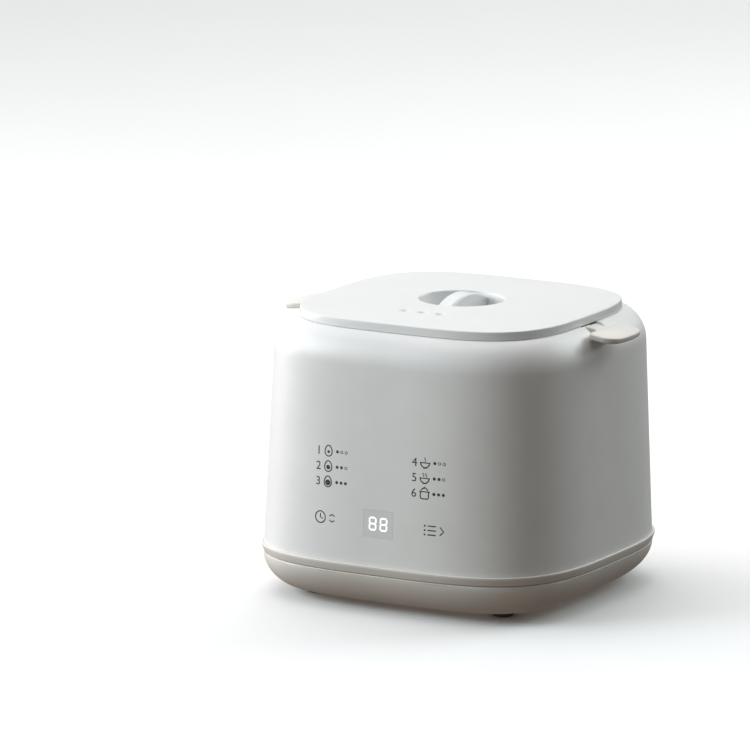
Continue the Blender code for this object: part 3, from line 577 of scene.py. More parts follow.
def housing_stations():
    """(half, power, z) up the outside of the housing, over the lip and down the inside."""
    stations = []
    wall_steps = 26
    low = HOUSING_FOOT_Z + 0.3
    for i in range(wall_steps):
        z = low + (SHOULDER_Z - low) * i / wall_steps
        stations.append((wall_half(z), BODY_POWER, z))
    top_angle = math.asin((LIP_Z - SHOULDER_Z) / SHOULDER_RISE)
    inset = (wall_half(LIP_Z) - LIP_HALF) / (1 - math.cos(top_angle))
    arc_steps = 20
    for i in range(arc_steps + 1):
        share = i / arc_steps
        angle = top_angle * share
        z = SHOULDER_Z + SHOULDER_RISE * math.sin(angle)
        stations.append((wall_half(z) - inset * (1 - math.cos(angle)), BODY_POWER, z))
    stations += rounded([
        (LIP_HALF, LIP_Z, BODY_POWER, 0),
        (LIP_INNER_HALF, LIP_Z, RIM_POWER, 0.7),
        (LIP_INNER_HALF, LIP_UNDER_Z, RIM_POWER, 0.0),
        (76.6, LIP_UNDER_Z, BODY_POWER, 0.0),
        (79.4, SHOULDER_Z + 5, BODY_POWER, 0.0),
        (80.0, SHOULDER_Z, BODY_POWER, 0.0),
        (HOUSING_HALF - WALL, HOUSING_FOOT_Z, BODY_POWER, 0.0),
        (HOUSING_HALF - 0.3, HOUSING_FOOT_Z, BODY_POWER, 0.0),
    ], 4)[1:]
    return stations


def make_housing():
    rings = [[notched(p) for p in ring(h, n, z, NOTCHED)] for h, n, z in housing_stations()]
    housing = new_object("housing_shell", skin(rings, closed=True))
    lens_gap = 0.06
    width = WINDOW[1].x - WINDOW[0].x + 2 * lens_gap
    height = WINDOW[1].z - WINDOW[0].z + 2 * lens_gap
    carve(housing, block((width, 20, height), (0, WINDOW[0].y, DISPLAY_Z)))
    inlet_z = (INLET[0].z + INLET[1].z) / 2
    inlet_opening = (28.0, 20, 21.0)
    carve(housing, block(inlet_opening, (0, INLET[1].y - 4, inlet_z)))
    finish_piece(housing, LOOKS["white_shell"], "body", ["housing"])


def make_window():
    """The display's lens: a thin plate that follows the front wall."""
    across, up = 24, 18
    half_width = WINDOW[1].x - 0.02
    rows = []
    for j in range(up + 1):
        z = WINDOW[0].z + (WINDOW[1].z - WINDOW[0].z) * j / up
        rows.append([(half_width * (2 * i / across - 1), z) for i in range(across + 1)])
    bm = bmesh.new()
    front = [[bm.verts.new((x, front_y(x, z), z)) for x, z in row] for row in rows]
    back = [[bm.verts.new((x, front_y(x, z) + 1.6, z)) for x, z in row] for row in rows]
    for sheet in (front, back):
        for low, high in zip(sheet, sheet[1:]):
            for i in range(across):
                bm.faces.new((low[i], low[i + 1], high[i + 1], high[i]))
    for i in range(across):
        bm.faces.new((front[0][i], front[0][i + 1], back[0][i + 1], back[0][i]))
        bm.faces.new((front[-1][i], front[-1][i + 1], back[-1][i + 1], back[-1][i]))
    for j in range(up):
        bm.faces.new((front[j][0], front[j + 1][0], back[j + 1][0], back[j][0]))
        bm.faces.new((front[j][-1], front[j + 1][-1], back[j + 1][-1], back[j][-1]))
    lens = new_object("display_lens", bm)
    finish_piece(lens, LOOKS["window_lens"], "body", ["display_window"])


def make_trim_ring():
    """The cream band at the foot of the housing, with a rolled lip standing proud."""
    half = TRIM[1].x
    lip_inside = HOUSING_HALF + 0.06
    stations = rounded([
        (half - 4.2, TRIM_LOW_Z, BODY_POWER, 0),
        (half - 1.1, TRIM_LOW_Z, BODY_POWER, 0.35),
        (half - 0.1, TRIM_TOP_Z - 1.2, BODY_POWER, 1.0),
        (half, TRIM_TOP_Z - 0.05, BODY_POWER, 0.42),
        (lip_inside, TRIM_TOP_Z + 0.12, BODY_POWER, 0.3),
        (lip_inside, TRIM_TOP_Z - 1.2, BODY_POWER, 0),
        (83.8, TRIM_TOP_Z - 1.2, BODY_POWER, 0),
        (83.6, TRIM[1].z, BODY_POWER, 0),
        (81.8, TRIM[1].z, BODY_POWER, 0),
        (81.8, TRIM_LOW_Z, BODY_POWER, 0),
    ])
    trim = new_object("trim_band", shell(stations))
    finish_piece(trim, LOOKS["cream_shell"], "body", ["trim_ring"])


def base_side(steps, inset):
    """(half, power, z) down the bowl-shaped side of the base, moved in by an inset."""
    bottom_half, roundness = 71.3, 1.31
    stations = []
    for i in range(steps + 1):
        angle = math.pi / 2 * i / steps
        reach = max(math.cos(angle), 0.0) ** roundness
        drop = math.sin(angle) ** roundness
        half = bottom_half + (BASE[1].x - bottom_half) * reach
        power = BODY_POWER + (BASE_POWER - BODY_POWER) * drop
        stations.append((half - inset, power, BASE_TOP_Z - (BASE_TOP_Z - BASE[0].z - inset) * drop))
    return stations


def foot_places():
    names = {-1: {-1: "front_left", 1: "rear_left"}, 1: {-1: "front_right", 1: "rear_right"}}
    return [(names[sx][sy], sx * FOOT_AT, sy * FOOT_AT) for sx in (-1, 1) for sy in (-1, 1)]


def make_base_cover():
    outside = base_side(22, 0.0)
    half, power, z = outside[0]
    edge = [(half - 0.5, power, z), (half - 0.12, power, z - 0.15), (half, power, z - 0.5)]
    inside = base_side(8, 2.5)[::-1]
    base = new_object("base_shell", shell(inside + edge + outside[1:], closed=False))
    for _, x, y in foot_places():
        pocket = turned([(FOOT_RADIUS + 0.3, BASE[0].z - 3, 0), (FOOT_RADIUS + 0.3, BASE[0].z + 1.4, 0)])
        carve(base, move(pocket, (x, y, 0)))
    for i in range(-2, 3):
        carve(base, vent_slot(length=30.0, width=3.0, depth=8.0, at=(0, -30 + 7 * i, BASE[0].z)))
    finish_piece(base, LOOKS["cream_shell"], "body", ["base_cover"])


def vent_slot(length, width, depth, at):
    """A slot with round ends, cut up through the base."""
    radius = width / 2
    reach = length / 2 - radius
    outline = arc((reach, 0), radius, -90, 90, 8) + arc((-reach, 0), radius, 90, 270, 8)
    return move(prism(outline, -depth / 2, depth / 2), at)


def make_feet():
    """Four rubber feet with a rounded tread edge and a groove round the tread."""
    r = FOOT_RADIUS
    top = FOOT[1].z
    profile = [(3.2, top, 0), (3.2, top - 1.0, 0), (r, top - 1.0, 0.5), (r, 1.5, 1.0), (r - 1.6, 0.0, 1.0)]
    profile += [(4.1, 0.0, 0.2), (3.8, 0.6, 0.2), (3.0, 0.6, 0.2), (2.7, 0.0, 0.2), (0.8, 0.0, 0)]
    for place, x, y in foot_places():
        foot = new_object(f"rubber_foot_{place}", move(turned(profile, 48), (x, y, 0)))
        finish_piece(foot, LOOKS["rubber_foot"], "body", [f"foot_{place}"])


def make_inlet():
    """The recessed mains socket: a soft-edged flange round a deep well with a chamfered mouth."""
    face = INLET[1].y
    back = INLET[0].y
    mid_z = (INLET[0].z + INLET[1].z) / 2
    square = 9.0
    outline = [
        (13.7, 10.2, back), (13.7, 10.2, face - 1.0), (16.1, 12.6, face - 1.0), (16.5, 13.0, face - 0.7),
        (16.5, 13.0, face - 0.3), (16.2, 12.7, face), (12.6, 9.1, face), (11.7, 8.2, face - 1.2),
        (11.7, 8.2, face - 12.3),
    ]
    rings = [ring(a, square, y, MEDIUM, deep=b) for a, b, y in outline]
    bm = skin(rings)
    turn = Matrix.Translation((0, 0, mid_z)) @ Matrix.Rotation(-math.pi / 2, 4, "X")
    bmesh.ops.transform(bm, matrix=turn, verts=bm.verts[:])
    finish_piece(new_object("mains_socket", bm), LOOKS["dark_plastic"], "body", ["power_inlet"])


# ---------------------------------------------------------------- printed face


def on_front(u, v, height):
    """A point of the printed face: across, up and out from the front wall."""
    return (u, front_y(u, v, height), v)


def ink_shape(bm, outline):
    """A filled outline, as a thin closed plate on the front wall."""
    top = [bm.verts.new(on_front(u, v, INK_HEIGHT)) for u, v in outline]
    low = [bm.verts.new(on_front(u, v, -INK_HEIGHT)) for u, v in outline]
    bm.faces.new(top)
    bm.faces.new(low)
    for i in range(len(outline)):
        j = (i + 1) % len(outline)
        bm.faces.new((top[i], top[j], low[j], low[i]))


def ink_line(bm, path, width=INK_WIDTH, closed=False):
    """A line of even width along a path, as a thin closed strip on the front wall."""
    rows = []
    count = len(path)
    for i, (u, v) in enumerate(path):
        before = path[i - 1] if closed or i else path[i]
        after = path[(i + 1) % count] if closed or i < count - 1 else path[i]
        du, dv = after[0] - before[0], after[1] - before[1]
        length = math.hypot(du, dv)
        nu, nv = -dv / length * width / 2, du / length * width / 2
        corners = [(u + nu, v + nv, INK_HEIGHT), (u - nu, v - nv, INK_HEIGHT)]
        corners += [(u - nu, v - nv, -INK_HEIGHT), (u + nu, v + nv, -INK_HEIGHT)]
        rows.append([bm.verts.new(on_front(*corner)) for corner in corners])
    pairs = list(zip(rows, rows[1:]))
    if closed:
        pairs.append((rows[-1], rows[0]))
    else:
        bm.faces.new(rows[0])
        bm.faces.new(rows[-1])
    for one, two in pairs:
        for i in range(4):
            j = (i + 1) % 4
            bm.faces.new((one[i], one[j], two[j], two[i]))


def disc(centre, radius, steps=14):
    return arc(centre, radius, 0, 360 - 360 / steps, steps - 1)


def egg_path(centre, height):
    """An egg's outline, blunt end down."""
    points = []
    steps = 28
    for i in range(steps):
        t = 2 * math.pi * i / steps
        narrowing = 1 - 0.16 * math.sin(t)
        x = centre[0] + 0.38 * height * math.cos(t) * narrowing
        points.append((x, centre[1] + 0.5 * height * math.sin(t)))
    return points


def draw_egg(bm, u, v, yolk):
    centre = (u + 2.6, v)
    ink_line(bm, egg_path(centre, 5.4), closed=True)
    ink_shape(bm, disc((centre[0], centre[1] - 0.5), yolk))


def draw_steam(bm, u, v, count):
    """Waving upright lines."""
    height, steps = 1.9, 8
    for i in range(count):
        path = []
        for k in range(steps + 1):
            share = k / steps
            path.append((u + 1.5 * i + 0.28 * math.sin(share * 2 * math.pi), v + height * share))
        ink_line(bm, path, 0.4)


def draw_bowl(bm, u, v, steam):
    """A bowl on a foot, with steam over it."""
    ink_line(bm, [(u, v - 0.2), (u + 5.6, v - 0.2)])
    ink_line(bm, arc((u + 2.8, v - 0.2), 2.4, 180, 360, 14))
    ink_line(bm, [(u + 1.8, v - 2.75), (u + 3.8, v - 2.75)])
    draw_steam(bm, u + 2.8 - 0.75 * (steam - 1), v + 0.5, steam)


def draw_pot(bm, u, v):
    """A lidded pot with two side handles."""
    ink_line(bm, [(u + 0.7, v + 0.6), (u + 0.7, v - 2.2), (u + 1.2, v - 2.7),
                  (u + 4.6, v - 2.7), (u + 5.1, v - 2.2), (u + 5.1, v + 0.6)])
    ink_line(bm, [(u, v + 0.8), (u + 5.8, v + 0.8)])
    ink_line(bm, arc((u + 2.9, v + 0.8), 1.9, 20, 160, 8))
    ink_shape(bm, disc((u + 2.9, v + 2.9), 0.45))


def draw_level(bm, u, v, count):
    """One to three dots for how long a programme cooks."""
    for i in range(3):
        centre = (u + 2.5 * i, v)
        if i < count:
            ink_shape(bm, disc(centre, 0.8))
        else:
            ink_line(bm, disc(centre, 0.65), 0.3, closed=True)


def draw_numeral(bm, text, u, v, height):
    """A plain numeral from Blender's own font, laid on the front wall."""
    data = bpy.data.curves.new("numeral", "FONT")
    data.body = text
    data.size = height / NUMERAL_SHARE
    data.resolution_u = 4
    helper = bpy.data.objects.new("numeral", data)
    bpy.context.scene.collection.objects.link(helper)
    bpy.context.view_layer.update()
    mesh = bpy.data.meshes.new_from_object(helper.evaluated_get(bpy.context.evaluated_depsgraph_get()))
    bpy.data.objects.remove(helper)
    top = [bm.verts.new(on_front(u + p.co.x, v - height / 2 + p.co.y, INK_HEIGHT)) for p in mesh.vertices]
    low = [bm.verts.new(on_front(u + p.co.x, v - height / 2 + p.co.y, -INK_HEIGHT)) for p in mesh.vertices]
    uses = {}
    for face in mesh.polygons:
        bm.faces.new([top[i] for i in face.vertices])
        bm.faces.new([low[i] for i in reversed(face.vertices)])
        for edge in face.edge_keys:
            uses[edge] = uses.get(edge, 0) + 1
    for (a, b), count in uses.items():
        if count == 1:
            bm.faces.new((top[a], top[b], low[b], low[a]))


def finish_mark(name, bm):
    finish_piece(new_object(name, bm), INK, "body", slot="dark_plastic", sharp=30)


def make_print():
    """Six numbered programmes in two columns, and the two touch keys beside the display."""
    icon_gap, level_gap, numeral = 4.6, 12.4, 4.4
    yolks = (0.75, 1.15, 1.5)
    timer_line, mode_line = 0.55, 0.6
    for number in range(1, 7):
        column, row = divmod(number - 1, 3)
        u = (LEFT_COLUMN_X, RIGHT_COLUMN_X)[column]
        v = ROW_HEIGHTS[row]
        bm = bmesh.new()
        draw_numeral(bm, str(number), u, v, numeral)
        if column == 0:
            draw_egg(bm, u + icon_gap, v, yolks[row])
        elif row < 2:
            draw_bowl(bm, u + icon_gap - 0.2, v, row + 1)
        else:
            draw_pot(bm, u + icon_gap - 0.2, v)
        draw_level(bm, u + level_gap, v, row + 1)
        finish_mark(f"programme_mark_{number}", bm)

    timer = bmesh.new()
    centre = (-KEY_X - 2.2, DISPLAY_Z)
    ink_line(timer, disc(centre, 2.9, 32), timer_line, closed=True)
    ink_line(timer, [(centre[0], centre[1] + 1.9), centre, (centre[0] + 1.4, centre[1] - 0.7)], timer_line)
    for step in (-0.9, 0.9):
        tip = (-KEY_X + 4.6, DISPLAY_Z + 2.1 * step)
        ink_line(timer, [(tip[0] - 1.5, tip[1] - step), tip, (tip[0] + 1.5, tip[1] - step)], timer_line)
    finish_mark("timer_key_mark", timer)

    mode = bmesh.new()
    for i in range(3):
        v = DISPLAY_Z + 2.2 * (i - 1)
        ink_shape(mode, disc((KEY_X - 5.0, v), 0.5))
        ink_line(mode, [(KEY_X - 3.4, v), (KEY_X + 1.0, v)], mode_line)
    arrow = [(KEY_X + 3.2, DISPLAY_Z + 2.0), (KEY_X + 5.2, DISPLAY_Z), (KEY_X + 3.2, DISPLAY_Z - 2.0)]
    ink_line(mode, arrow, mode_line)
    finish_mark("mode_key_mark", mode)


def segment(centre, length, upright):
    """One pointed bar of a seven-segment digit."""
    half, wide = length / 2, SEGMENT_WIDTH / 2
    inner = half - wide
    outline = [(-half, 0), (-inner, wide), (inner, wide), (half, 0), (inner, -wide), (-inner, -wide)]
    if upright:
        outline = [(-b, a) for a, b in outline]
    return [(centre[0] + a, centre[1] + b) for a, b in outline]


def make_digits():
    """Both digits show eight, each of seven lit bars."""
    bar = DIGIT_WIDTH - SEGMENT_WIDTH - 0.2
    post = (DIGIT_HEIGHT - SEGMENT_WIDTH) / 2 - 0.2
    for side, u in (("left", -DIGIT_PITCH / 2), ("right", DIGIT_PITCH / 2)):
        bm = bmesh.new()
        reach = (DIGIT_HEIGHT - SEGMENT_WIDTH) / 2
        for v in (-reach, 0, reach):
            ink_shape(bm, segment((u, DISPLAY_Z + v), bar, False))
        for du in (-1, 1):
            for dv in (-0.5, 0.5):
                centre = (u + du * (DIGIT_WIDTH - SEGMENT_WIDTH) / 2, DISPLAY_Z + dv * reach)
                ink_shape(bm, segment(centre, post, True))
        finish_piece(new_object(f"lit_digit_{side}", bm), DIGIT_LIGHT, "body", slot="window_lens", sharp=30)


# ---------------------------------------------------------------- heated well


def plate_screw_places():
    return [polar(PLATE_SCREW_CIRCLE, math.radians(angle)) for angle in (93, 213, 333)]


def make_liner():
    """The drawn steel well: a flat top flange, a rounded bottom corner and a round floor opening."""
    top, floor, w = LINER[1].z, LINER[0].z, 0.8
    stations = rounded([
        (76.0, top, RIM_POWER, 0), (76.0, top - w, RIM_POWER, 0), (70.2, top - w, RIM_POWER, 0.4),
        (65.6, floor, RIM_POWER, 6.0), (43.5, floor, ROUND, 0), (43.5, floor + w, ROUND, 0),
        (64.8, floor + w, RIM_POWER, 5.4), (69.4, top, RIM_POWER, 0.8),
    ], 8)
    liner = new_object("drawn_liner", shell(stations, angles=MEDIUM))
    finish_piece(liner, LINER_STEEL, "body", ["inner_liner"])


def make_heating_plate():
    """The cast plate: a faced top with a shallow groove near its edge, a middle hole and three bosses."""
    low, top = LINER[0].z + 1.1, PLATE[1].z
    hole, radius = 13.5, PLATE[1].x
    bottom, groove = top - 4.7, top - 0.5
    profile = [
        (hole, bottom, 0), (radius, bottom, 1.2), (radius, top, 1.2), (radius - 6.0, top, 0.3),
        (radius - 6.4, groove, 0.2), (radius - 7.6, groove, 0.2), (radius - 8.0, top, 0.3), (hole, top, 0),
    ]
    plate = new_object("faced_plate", turned(profile, 120, closed=True))
    for x, y in plate_screw_places():
        boss = turned([(4.0, low, 0), (4.0, top - 4.0, 0)], 24)
        carve(plate, move(boss, (x, y, 0)), "UNION")
    finish_piece(plate, LOOKS["cast_aluminium"], "body", ["heating_plate"])


def make_sensor_cap():
    top, low = SENSOR[1].z, SENSOR[0].z
    profile = [(0.6, top - 0.15, 0), (5.0, top, 0), (10.2, top, 0.9), (11.0, top - 1.4, 0.8), (11.0, low, 0)]
    profile += [(10.1, low, 0), (10.1, top - 1.8, 0.8), (0.6, top - 1.0, 0)]
    button = new_object("sensor_button", turned(profile, 64))
    finish_piece(button, LOOKS["cast_aluminium"], "sensor", ["sensor_cap"])


# ---------------------------------------------------------------- pot


def make_pot():
    """The drawn steel pot: a wide flat flange, a soft throat and a deep drawn bottom corner."""
    bottom, top, flange = POT[0].z, POT[1].z, POT[1].y
    low = top - 1.0
    stations = rounded([
        (38.0, bottom, 3.1, 0), (64.0, bottom, 3.4, 19.0), (67.5, low, RIM_POWER, 1.6),
        (flange, low, RIM_POWER, 0.3), (flange, top, RIM_POWER, 0.45), (66.8, top, RIM_POWER, 2.0),
        (63.1, bottom + 0.9, 3.4, 18.2), (38.0, bottom + 0.9, 3.1, 0),
    ], 12)
    pot = new_object("steel_pot", shell(stations, closed=False))
    thickness, slope = 0.8, math.tan(HANDLE_SLOPE)
    mid_z = HANDLE_START.z - HANDLE_THICKNESS / 2
    tab_x = TAB_START_X + TAB_LENGTH / 2
    tab_z = mid_z - slope * (tab_x - HANDLE_START.x)
    step_x = TAB_START_X + thickness / 2
    step_low = mid_z - slope * (step_x - HANDLE_START.x) - thickness / 2
    step_height = top - step_low
    for sign in (-1, 1):
        step = block((thickness, 7.6, step_height), (sign * step_x, 0, step_low + step_height / 2))
        carve(pot, step, "UNION")
        tab = block((TAB_LENGTH, 7.2, thickness))
        lie = Matrix.Translation((sign * tab_x, 0, tab_z)) @ Matrix.Rotation(sign * HANDLE_SLOPE, 4, "Y")
        bmesh.ops.transform(tab, matrix=lie, verts=tab.verts[:])
        carve(pot, tab, "UNION")
    finish_piece(pot, POT_STEEL, "pot", ["inner_pot"])


def handle_outline():
    """A pot handle from above, as (outwards, sideways) points: a narrow neck and a wide plate."""
    end, plate_half, inner, outer, flare = 23.3, 17.0, 3.6, 7.5, 2.4
    half = [(0.0, NECK_HALF + 0.8), (2.0, NECK_HALF), (NECK_LENGTH - flare, NECK_HALF)]
    half += arc((NECK_LENGTH - flare, NECK_HALF + flare), flare, -90, 0, 8)[1:]
    half += arc((NECK_LENGTH + inner, plate_half - 0.4 - inner), inner, 180, 96, 8)
    half += arc((end - 0.7 - outer, plate_half - outer), outer, 90, 13, 12)
    half += [(end - 0.25, 6.5), (end, 2.5)]
    return half + [(u, -v) for u, v in reversed(half)]


def make_pot_handles():
    """The two side handles: pale mouldings with rounded edges, sloping down outwards."""
    for side, sign in (("left", -1), ("right", 1)):
        handle = new_object(f"moulded_handle_{side}", prism(handle_outline(), -HANDLE_THICKNESS, 0))
        handle.data.shade_smooth()
        soften(handle, width=0.8, steps=4, angle=40)
        lie = Matrix.Rotation(math.pi if sign < 0 else 0.0, 4, "Z") @ Matrix.Rotation(HANDLE_SLOPE, 4, "Y")
        place = Matrix.Translation(Vector((sign * HANDLE_START.x, 0, HANDLE_START.z)) * MM) @ lie
        handle.data.transform(place)
        finish_piece(handle, LOOKS["cream_shell"], "pot", [f"pot_handle_{side}"])


# ---------------------------------------------------------------- rack


def rack_hole(x, y, radius, low, high, count=56):
    """A cutter for a hole with both its edges rounded over."""
    over, flare = 2.0, 0.6
    profile = [(radius + flare + over, low - over, 0), (radius, low + 0.1, 1.0), (radius, high - 0.1, 1.0)]
    profile += [(radius + flare + over, high + over, 0)]
    return move(turned(profile, count), (x, y, 0))


def make_rack():
    """The egg rack: a flat plate with an upturned edge, egg seats, steam holes and three legs."""
    low, half, n = RACK[1].z - 4.4, RACK[1].x, RACK_POWER
    high = low + 2.0
    stations = rounded([
        (40.0, low, n, 0), (half - 2.6, low, n, 1.2), (half, low + 2.4, n, 1.0), (half, high + 2.4, n, 0.7),
        (half - 1.7, high + 2.4, n, 0.7), (half - 2.8, high, n, 0.9), (40.0, high, n, 0),
    ], 4)
    rack = new_object("moulded_rack", shell(stations, closed=False, angles=MEDIUM))
    for i in range(3):
        x, y = polar(LEG_CIRCLE, math.radians(60 + 120 * i))
        leg = turned([(2.2, RACK[0].z, 0), (3.0, low + 1, 0)], 24)
        carve(rack, move(leg, (x, y, 0)), "UNION")
    for i in range(EGG_SEATS):
        x, y = polar(EGG_SEAT_CIRCLE, math.radians(30 + 360 * i / EGG_SEATS))
        carve(rack, rack_hole(x, y, EGG_SEAT_RADIUS - 0.4, low, high))
    for i in range(EGG_SEATS):
        x, y = polar(STEAM_HOLE_CIRCLE, math.radians(360 * i / EGG_SEATS))
        carve(rack, rack_hole(x, y, 2.0, low, high, 24))
    finish_piece(rack, RACK_PLASTIC, "rack", ["egg_rack"])


def make_rack_handle():
    low, high = KNOB[0].z, KNOB[1].z
    plate = RACK[1].z - 2.4
    profile = [
        (2.6, low, 0), (4.6, low + 0.6, 0.3), (4.6, plate - 2.3, 0), (3.0, plate - 2.3, 0),
        (3.0, plate + 0.3, 0), (6.0, plate + 0.3, 0.4), (5.2, plate + 2.4, 1.0), (3.9, plate + 8.0, 6.0),
        (3.6, high - 15, 6.0), (5.2, high - 9.0, 8.0), (11.0, high - 5.4, 2.2), (10.4, high - 0.4, 2.2),
        (2.0, high, 0),
    ]
    post = new_object("rack_post", turned(profile, 56, steps=6))
    finish_piece(post, LOOKS["cream_shell"], "rack", ["rack_handle"])


# ---------------------------------------------------------------- lid


def lid_crown():
    """(half, power, z) from the well's rim out over the crowned top to the edge's rounding."""
    start, end, drop = WELL_RADIUS + 2.2, LID[1].x - 1.9, 1.35
    stations = []
    steps = 16
    for i in range(steps + 1):
        share = i / steps
        half = start + (end - start) * share
        power = ROUND + (RIM_POWER - ROUND) * share**0.9
        stations.append((half, power, LID_PLATE_Z - drop * share**2.2))
    return stations


def lid_stations():
    """The lid from the well's floor over the crown, down the rim round the flange and back inside."""
    half, low, floor = LID[1].x, LID_EDGE_Z, WELL_FLOOR_Z
    skirt = LID_PLATE_Z - 10.0
    rim_low = LIP_Z + 0.14
    well = rounded([
        (12.0, floor, ROUND, 0), (WELL_RADIUS - 2.4, floor, ROUND, 1.6),
        (WELL_RADIUS, LID_PLATE_Z - 0.9, ROUND, 0.3),
        (WELL_RADIUS + 0.35, LID_PLATE_Z + 0.02, ROUND, 0.35), (WELL_RADIUS + 2.2, LID_PLATE_Z, ROUND, 0),
    ], 5)[:-1]
    crown = lid_crown()
    edge_z = crown[-1][2]
    edge = rounded([
        (half - 1.9, edge_z, RIM_POWER, 0), (half - 0.35, edge_z - 0.1, RIM_POWER, 0.7),
        (half - 0.1, edge_z - 2.3, RIM_POWER, 2.0), (half, rim_low, RIM_POWER, 0.3),
        (half - 0.9, rim_low, RIM_POWER, 0.3), (half - 0.9, low, RIM_POWER, 0.3),
        (65.5, low, RIM_POWER, 0.3),
    ], 5)[1:]
    inside = rounded([
        (65.5, low, RIM_POWER, 0), (65.1, skirt, RIM_POWER, 0.3), (63.6, skirt, RIM_POWER, 0.3),
        (63.8, low + 0.9, RIM_POWER, 0.8), (58.0, LID_PLATE_Z - 2.8, 3.0, 0),
        (40.0, LID_PLATE_Z - 2.15, 2.4, 0),
        (WELL_RADIUS + 2.6, LID_PLATE_Z - 2.0, ROUND, 1.0), (WELL_RADIUS - 0.3, floor - 0.2, ROUND, 1.6),
        (12.0, LID[0].z, ROUND, 0),
    ], 4)[1:]
    return well + crown + edge + inside


def grip_section(y, width_cut, lowered, floor):
    """The grip bar's section at y: straight sides, rounded shoulders and a faintly hollow top."""
    w = GRIP_HALF_WIDTH - width_cut
    peak = LID[1].z - lowered - 5.4 * (y / WELL_RADIUS) ** 2
    shoulder = min(1.3, w * 0.6)
    half = [(w, floor), (w, peak - shoulder)]
    half += arc((w - shoulder, peak - shoulder), shoulder, 0, 75, 5)[1:]
    half += [(w * 0.45, peak - 0.22), (w * 0.2, peak - 0.36)]
    points = half + [(-x, z) for x, z in reversed(half)]
    return [(x, y, z) for x, z in points]


def grip_bar(reach, width_cut, lowered, floor):
    rows = []
    steps = 40
    for i in range(steps + 1):
        rows.append(grip_section(reach * (2 * i / steps - 1), width_cut, lowered, floor))
    return skin(rows)


def make_lid():
    """The frosted lid, with its finger well, hollow grip bar and three countersunk steam holes."""
    lid = new_object("frosted_lid_shell", shell(lid_stations(), closed=False))
    bar = grip_bar(WELL_RADIUS + 0.9, width_cut=0.0, lowered=0.0, floor=WELL_FLOOR_Z - 0.9)
    carve(lid, bar, "UNION")
    hollow = grip_bar(WELL_RADIUS - 3.8, width_cut=1.8, lowered=2.0, floor=WELL_FLOOR_Z - 6)
    carve(lid, hollow)
    for i in (-1, 0, 1):
        x, top = i * VENT_PITCH, LID_PLATE_Z - 0.35
        throat = [(1.5, top - 8, 0), (1.5, top - 0.7, 0.8)]
        dish = [(2.7, top + 0.1, 0.5), (3.4, top + 0.3, 0.3), (3.4, top + 2, 0)]
        hole = turned(throat + dish, 32)
        carve(lid, move(hole, (x, VENT_Y, 0)))
    finish_piece(lid, LOOKS["frosted_lid"], "lid", ["lid"], sharp=35)


# ---------------------------------------------------------------- what stays from the frame


def dress_frame():
    """Gives every part that keeps its own shape a worked material."""
    for name, obj in frame["nodes"].items():
        if name not in replaced:
            obj.data.materials.clear()
            obj.data.materials.append(LOOKS[SLOTS[name]])


# ---------------------------------------------------------------- studio


def aim(obj, target):
    obj.rotation_euler = (Vector(target) - obj.location).to_track_quat("-Z", "Y").to_euler()


def soft_box(name, at, target, size, power, colour=(1, 1, 1)):
    data = bpy.data.lights.new(name, "AREA")
    data.shape = "RECTANGLE"
    data.size, data.size_y = size
    data.energy = power
    data.color = colour
    light = bpy.data.objects.new(name, data)
    light.location = at
    bpy.context.scene.collection.objects.link(light)
    aim(light, target)


def dim_room():
    """The light around the object: a room above the horizon and a warm table top below it.

    Both are brighter on the left than on the right. Towards the front the room is darker and the
    table brighter, and straight below the table is nearly black."""
    world = bpy.data.worlds.new("dim_room")
    world.use_nodes = True
    nodes, links = world.node_tree.nodes, world.node_tree.links
    axes = nodes.new("ShaderNodeSeparateXYZ")
    links.new(nodes.new("ShaderNodeTexCoord").outputs["Generated"], axes.inputs["Vector"])

    def share(axis, low, high):
        spread = nodes.new("ShaderNodeMapRange")
        spread.inputs["From Min"].default_value = low
        spread.inputs["From Max"].default_value = high
        links.new(axes.outputs[axis], spread.inputs["Value"])
        return spread.outputs["Result"]

    def fade(factor, first, second):
        mix = nodes.new("ShaderNodeMix")
        mix.data_type = "RGBA"
        links.new(factor, mix.inputs["Factor"])
        for socket, value in ((mix.inputs[6], first), (mix.inputs[7], second)):
            if isinstance(value, tuple):
                socket.default_value = (*value, 1)
            else:
                links.new(value, socket)
        return mix.outputs[2]

    rightness = share("X", -1, 1)
    frontness = share("Y", 0, -1)
    room = fade(frontness, fade(rightness, ROOM_LEFT, ROOM_RIGHT), ROOM_FRONT)
    table = fade(frontness, fade(rightness, TABLE_LEFT, TABLE_RIGHT), TABLE_FRONT)
    table = fade(share("Z", -0.15, -0.95), table, TABLE_UNDER)
    links.new(fade(share("Z", -0.06, 0.06), table, room), nodes["Background"].inputs["Color"])
    return world


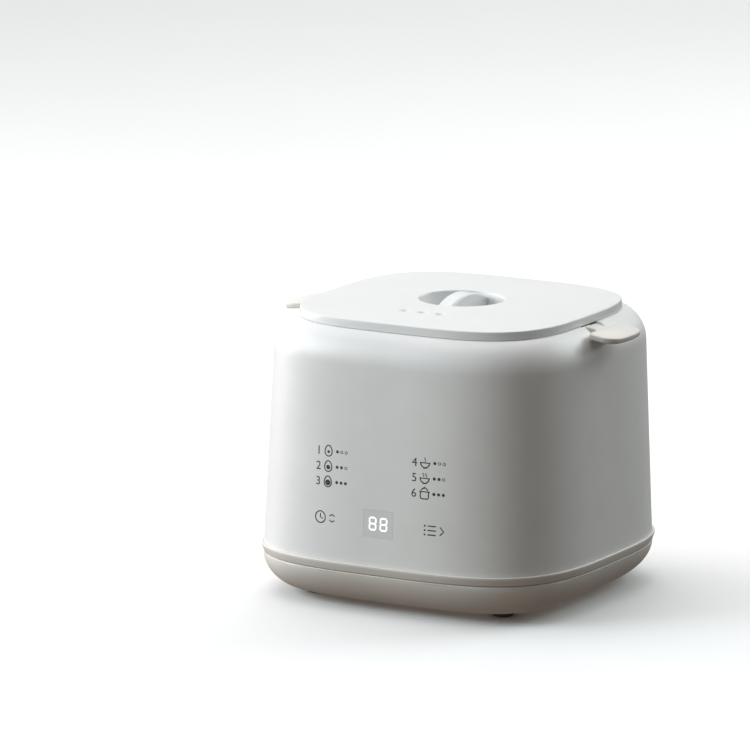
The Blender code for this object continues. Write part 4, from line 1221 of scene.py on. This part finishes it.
def make_studio():
    """A pale floor, four soft boxes round the object, one more over the floor, and a dim room.

    The floor catches the object's shadow but neither lights nor shades the object, so the dark
    table of the surroundings is what the object sees below itself."""
    bm = bmesh.new()
    bmesh.ops.create_grid(bm, x_segments=8, y_segments=8, size=9000)
    floor = new_object("studio_floor", bm)
    floor.data.materials.append(
        moulded("studio_paper", (0.93, 0.93, 0.93), (0.95, 0.95, 0.95), (0.7, 0.85), (2.0, 0.02), 400.0)
    )
    floor.visible_diffuse = False
    floor.visible_glossy = False
    floor.visible_shadow = False
    middle = (0, 0, 0.09)
    soft_box("key_light", (-1.56, -0.17, 0.39), middle, (0.9, 0.9), 12.4, (1.04, 0.98, 0.98))
    soft_box("front_light", (-1.11, -0.93, 0.77), middle, (0.8, 0.8), 11.8, (0.90, 1.02, 1.06))
    soft_box("top_light", (-0.26, -0.15, 1.76), middle, (1.2, 1.2), 7.0, (1.06, 0.97, 0.97))
    soft_box("rim_light", (0.82, 1.41, 0.85), middle, (1.0, 1.0), 13.2, (0.92, 1.03, 1.03))
    soft_box("floor_light", (-0.6, 2.27, 2.51), (-0.6, 1.6, 0), (3.0, 3.0), 32)
    bpy.context.scene.world = dim_room()
    bpy.context.scene.view_settings.view_transform = "Standard"


def make_camera():
    """A long lens from the front right, level but for a slight roll.

    These values began as a fit to features of the photo and were then rounded."""
    azimuth, elevation, roll = math.radians(28.40), math.radians(11.42), math.radians(0.49)
    distance, right_shift, up_shift = 3.517, 0.0428, 0.0200
    look_at = Vector((0, 0, 0.0863))
    across = math.cos(elevation)
    back = Vector((math.sin(azimuth) * across, -math.cos(azimuth) * across, math.sin(elevation)))
    level_right = Vector((math.cos(azimuth), math.sin(azimuth), 0))
    level_up = back.cross(level_right)
    right = math.cos(roll) * level_right + math.sin(roll) * level_up
    up = back.cross(right)
    place = Matrix((right, up, back)).transposed().to_4x4()
    place.translation = look_at + back * distance - right * right_shift + up * up_shift
    data = bpy.data.cameras.new("studio_camera")
    data.lens = 336
    data.sensor_width = 36
    data.clip_end = 60
    camera = bpy.data.objects.new("studio_camera", data)
    camera.matrix_world = place
    bpy.context.scene.collection.objects.link(camera)
    bpy.context.scene.camera = camera


INK = printed_ink()
DIGIT_LIGHT = lit_digit()
POT_STEEL = pot_steel()
LINER_STEEL = liner_steel()
RACK_PLASTIC = rack_plastic()

make_camera()
make_studio()
make_housing()
make_window()
make_trim_ring()
make_base_cover()
make_feet()
make_inlet()
make_print()
make_digits()
make_liner()
make_heating_plate()
make_sensor_cap()
make_pot()
make_pot_handles()
make_rack()
make_rack_handle()
make_lid()
dress_frame()
